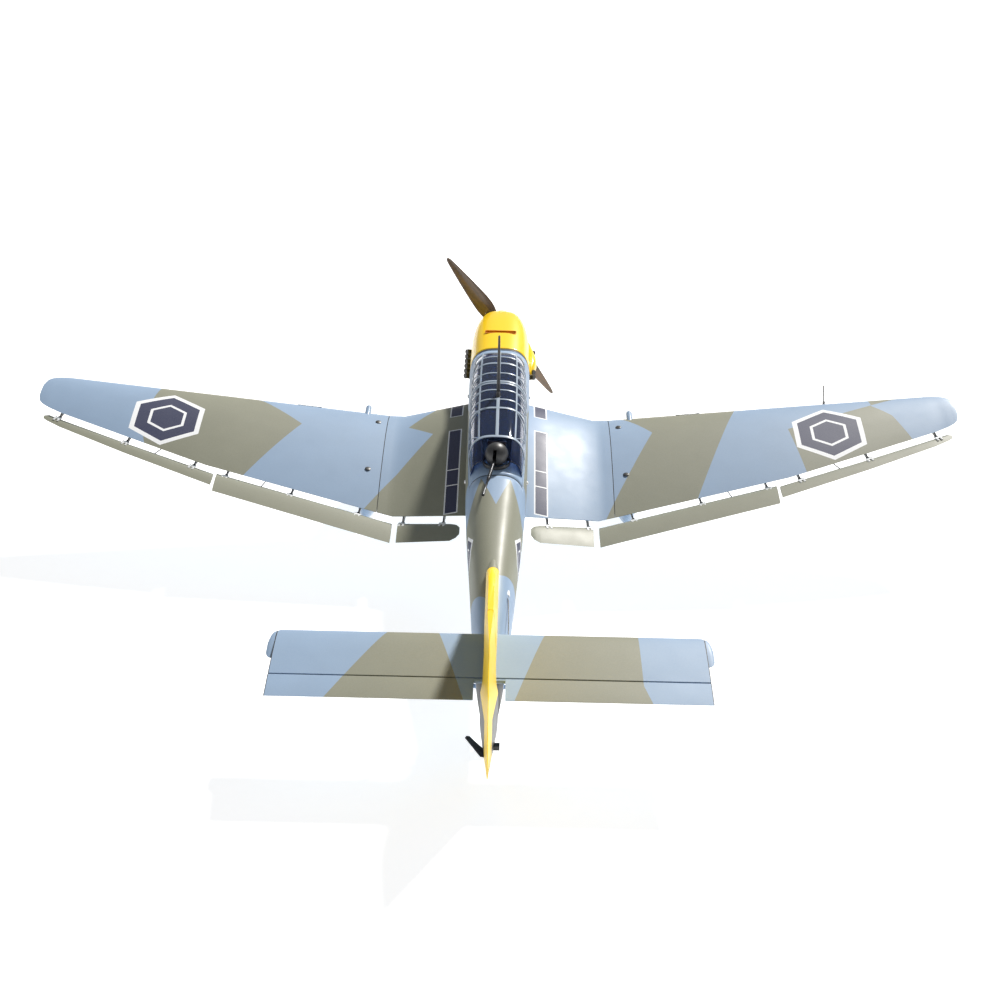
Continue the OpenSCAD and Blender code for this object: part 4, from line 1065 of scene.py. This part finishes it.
def build_gun(m):
    place = move(GUN)
    turn = place @ about("Z", -GUN_YAW)
    ring = [(BALL_R + 2, -22), (BALL_R + 5, -22), (BALL_R + 5, -15), (BALL_R + 2, -15), (BALL_R + 2, -22)]
    Solid().turned(ring, place, 48, caps=False).piece("gun_ring", m["black"], "hatch", crease=40)
    lie = turn @ about("X", -GUN_DROOP) @ about("X", -pi / 2)
    gun = Solid()
    gun.turned([(2.6, -12), (2.6, 27), (3.4, 29), (3.4, 98), (2.3, 100), (2.3, 136), (3.3, 142), (3.3, 150),
                (1.4, 150), (1.4, 130)], lie, 24)
    for i in range(9):
        y = 32 + 7 * i
        gun.turned([(3.4, y), (4.0, y + 0.6), (4.0, y + 2.4), (3.4, y + 3)], lie, 24)
    gun.turned([(1.5, -12), (1.5, 12)], turn @ about("Y", pi / 2), 16)
    gun.piece("gun_barrel", m["gunmetal"], "gun", ["gun"], crease=35)


# ---- propeller and wheels ------------------------------------------------------------------------

# Radius, chord, thickness, pitch
BLADE = [(16, 30, 15, 52), (34, 34, 12, 46), (60, 46, 8.5, 36), (90, 47, 7, 28), (130, 40, 5.5, 21),
         (180, 29, 4.2, 16), (225, 18, 3.2, 13), (247, 11, 2.4, 12), (254, 5, 1.5, 12)]


def build_propeller(m):
    at = move((0, PROP_Y, THRUST_Z)) @ about("Y", -PARK)
    solid = Solid()
    for turn in (0, pi):
        rings = []
        for r in spread(16, 220, 26) + spread(226, 254, 8):
            chord, thick, pitch = (track(BLADE, r, c) for c in (1, 2, 3))
            pitch = radians(pitch)
            ring = []
            for j in range(28):
                a = 2 * pi * j / 28
                u, v = chord / 2 * cos(a), thick / 2 * sin(a)
                ring.append((r, -u * sin(pitch) + v * cos(pitch),
                             u * cos(pitch) + v * sin(pitch)))
            rings.append(ring)
        solid.loft(rings, at=at @ about("Y", turn))
    solid.turned([(20, -13), (21, -12), (21, 11), (20, 12)],
                 at @ about("X", -pi / 2), 40)
    solid.piece("propeller_blades", m["walnut"], "propeller", ["propeller"], crease=50)


def build_wheels(m):
    for side, mirrored in hands():
        body = f"main_wheel_{side}"
        axle = move(MAIN_AXLE) @ about("Y", pi / 2)
        r, w = 63.5, 17.6
        tread = [(r - 14 + 14 * cos(a), w * sin(a)) for a in spread(-1.25, 1.25, 20)]
        tyre = Solid(mirrored)
        tyre.turned([(r - 27, -w + 3), (r - 22, -w + 1)] + tread + [(r - 22, w - 1), (r - 27, w - 3)],
                    axle, 96, caps=False)
        tyre.piece(f"{body}_tyre", m["rubber"], body, [body], crease=60)
        hub = Solid(mirrored)
        hub.turned([(4.2, -13), (12, -13), (13, -11), (32, -12), (35, -15), (37, -15), (37, 15), (35, 15),
                    (32, 12), (13, 11), (12, 13), (4.2, 13)], axle, 64)
        hub.piece(f"{body}_hub", m["alloy"], body, crease=30)
    axle = move(TAIL_AXLE) @ about("Y", pi / 2)
    r = 22
    tread = [(r - 7 + 7 * cos(a), 6.8 * sin(a)) for a in spread(-1.3, 1.3, 16)]
    tyre = Solid().turned([(r - 11, -5)] + tread + [(r - 11, 5)], axle, 64, caps=False)
    tyre.piece("tail_wheel_tyre", m["rubber"], "tail_wheel", ["tail_wheel"], crease=60)
    disc = [(2.1, -5.5), (5, -5.5), (6, -4.5), (11, -5), (11, 5), (6, 4.5), (5, 5.5), (2.1, 5.5)]
    hub = Solid().turned(disc, axle, 48)
    hub.piece("tail_wheel_hub", m["nylon"], "tail_wheel", crease=30)


# Fairings from the bottom up: height, front, back, half width
SPAT = [(-316, 388, 600, 28), (-300, 372, 632, 34), (-270, 366, 640, 36), (-240, 370, 632, 36),
        (-212, 378, 618, 33), (-198, 392, 600, 28)]
TROUSER = [(-206, 412, 566, 26), (-185, 424, 550, 22), (-150, 430, 542, 20), (-106, 432, 540, 19)]


def teardrop(table, z):
    n = 48
    y0, y1, w = (track(table, z, c) for c in (1, 2, 3))
    ring = []
    for i in range(n):
        a = 2 * pi * i / n
        u = (1 - cos(a)) / 2
        ring.append((MAIN_AXLE.x + w * sin(a) * (1.25 - 0.5 * u), y0 + (y1 - y0) * u ** 0.85, z))
    return ring


def build_gear(m):
    for side, mirrored in hands():
        spat = Solid(mirrored).loft([teardrop(SPAT, z) for z in spread(-316, -198, 20)])
        made = spat.piece(f"spat_{side}", m["grey"], "airframe", once(side, "wheel_spats"))
        well, r = 25, 67.5
        axle = move(MAIN_AXLE) @ about("Y", pi / 2)
        carve(made, Solid(mirrored).turned([(r, -well), (r, well)], axle, 72))
        carve(made, Solid(mirrored).box((311, 445, -320), (361, 495, -206)))
        trouser = Solid(mirrored).loft([teardrop(TROUSER, z) for z in spread(-205, -106, 12)])
        trouser.piece(f"trouser_{side}", m["grey"], "airframe", once(side, "gear_trousers"))


# ---- assembly ------------------------------------------------------------------------------------

# Finish of the CAD nodes that stay in view
KEPT = {
    "ply": ("firewall", "radio_tray"),
    "alloy": ("engine_mount", "crankcase", "cylinder", "wing_tubes", "prop_shaft"),
    "steel": ("muffler", "gear_legs"),
    "gunmetal": ("pitot_tube", "aileron_arm_left", "aileron_arm_right", "aileron_rod_left",
                 "aileron_rod_right", "flap_arm_left", "flap_arm_right", "flap_rod_left", "flap_rod_right"),
    "tank": ("fuel_tank",),
    "black": ("radio_gear", "servos", "hinge_arms", "tail_fork", "gun_ball"),
    "blue": ("tail_struts",),
    "cockpit": ("cockpit_tub",),
    "yellow": ("spinner",),
}


def finish_cad_nodes(m):
    for key, names in KEPT.items():
        for name in names:
            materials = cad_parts[name].data.materials
            materials.clear()
            materials.append(m[key])


def main():
    add_camera()
    add_studio()
    m = make_materials()
    for build in (build_body, build_nose, build_intake, build_wings, build_hung, build_tailplane, build_fin,
                  build_canopy, build_cockpit, build_gun, build_propeller, build_wheels, build_gear,
                  finish_cad_nodes):
        build(m)


main()
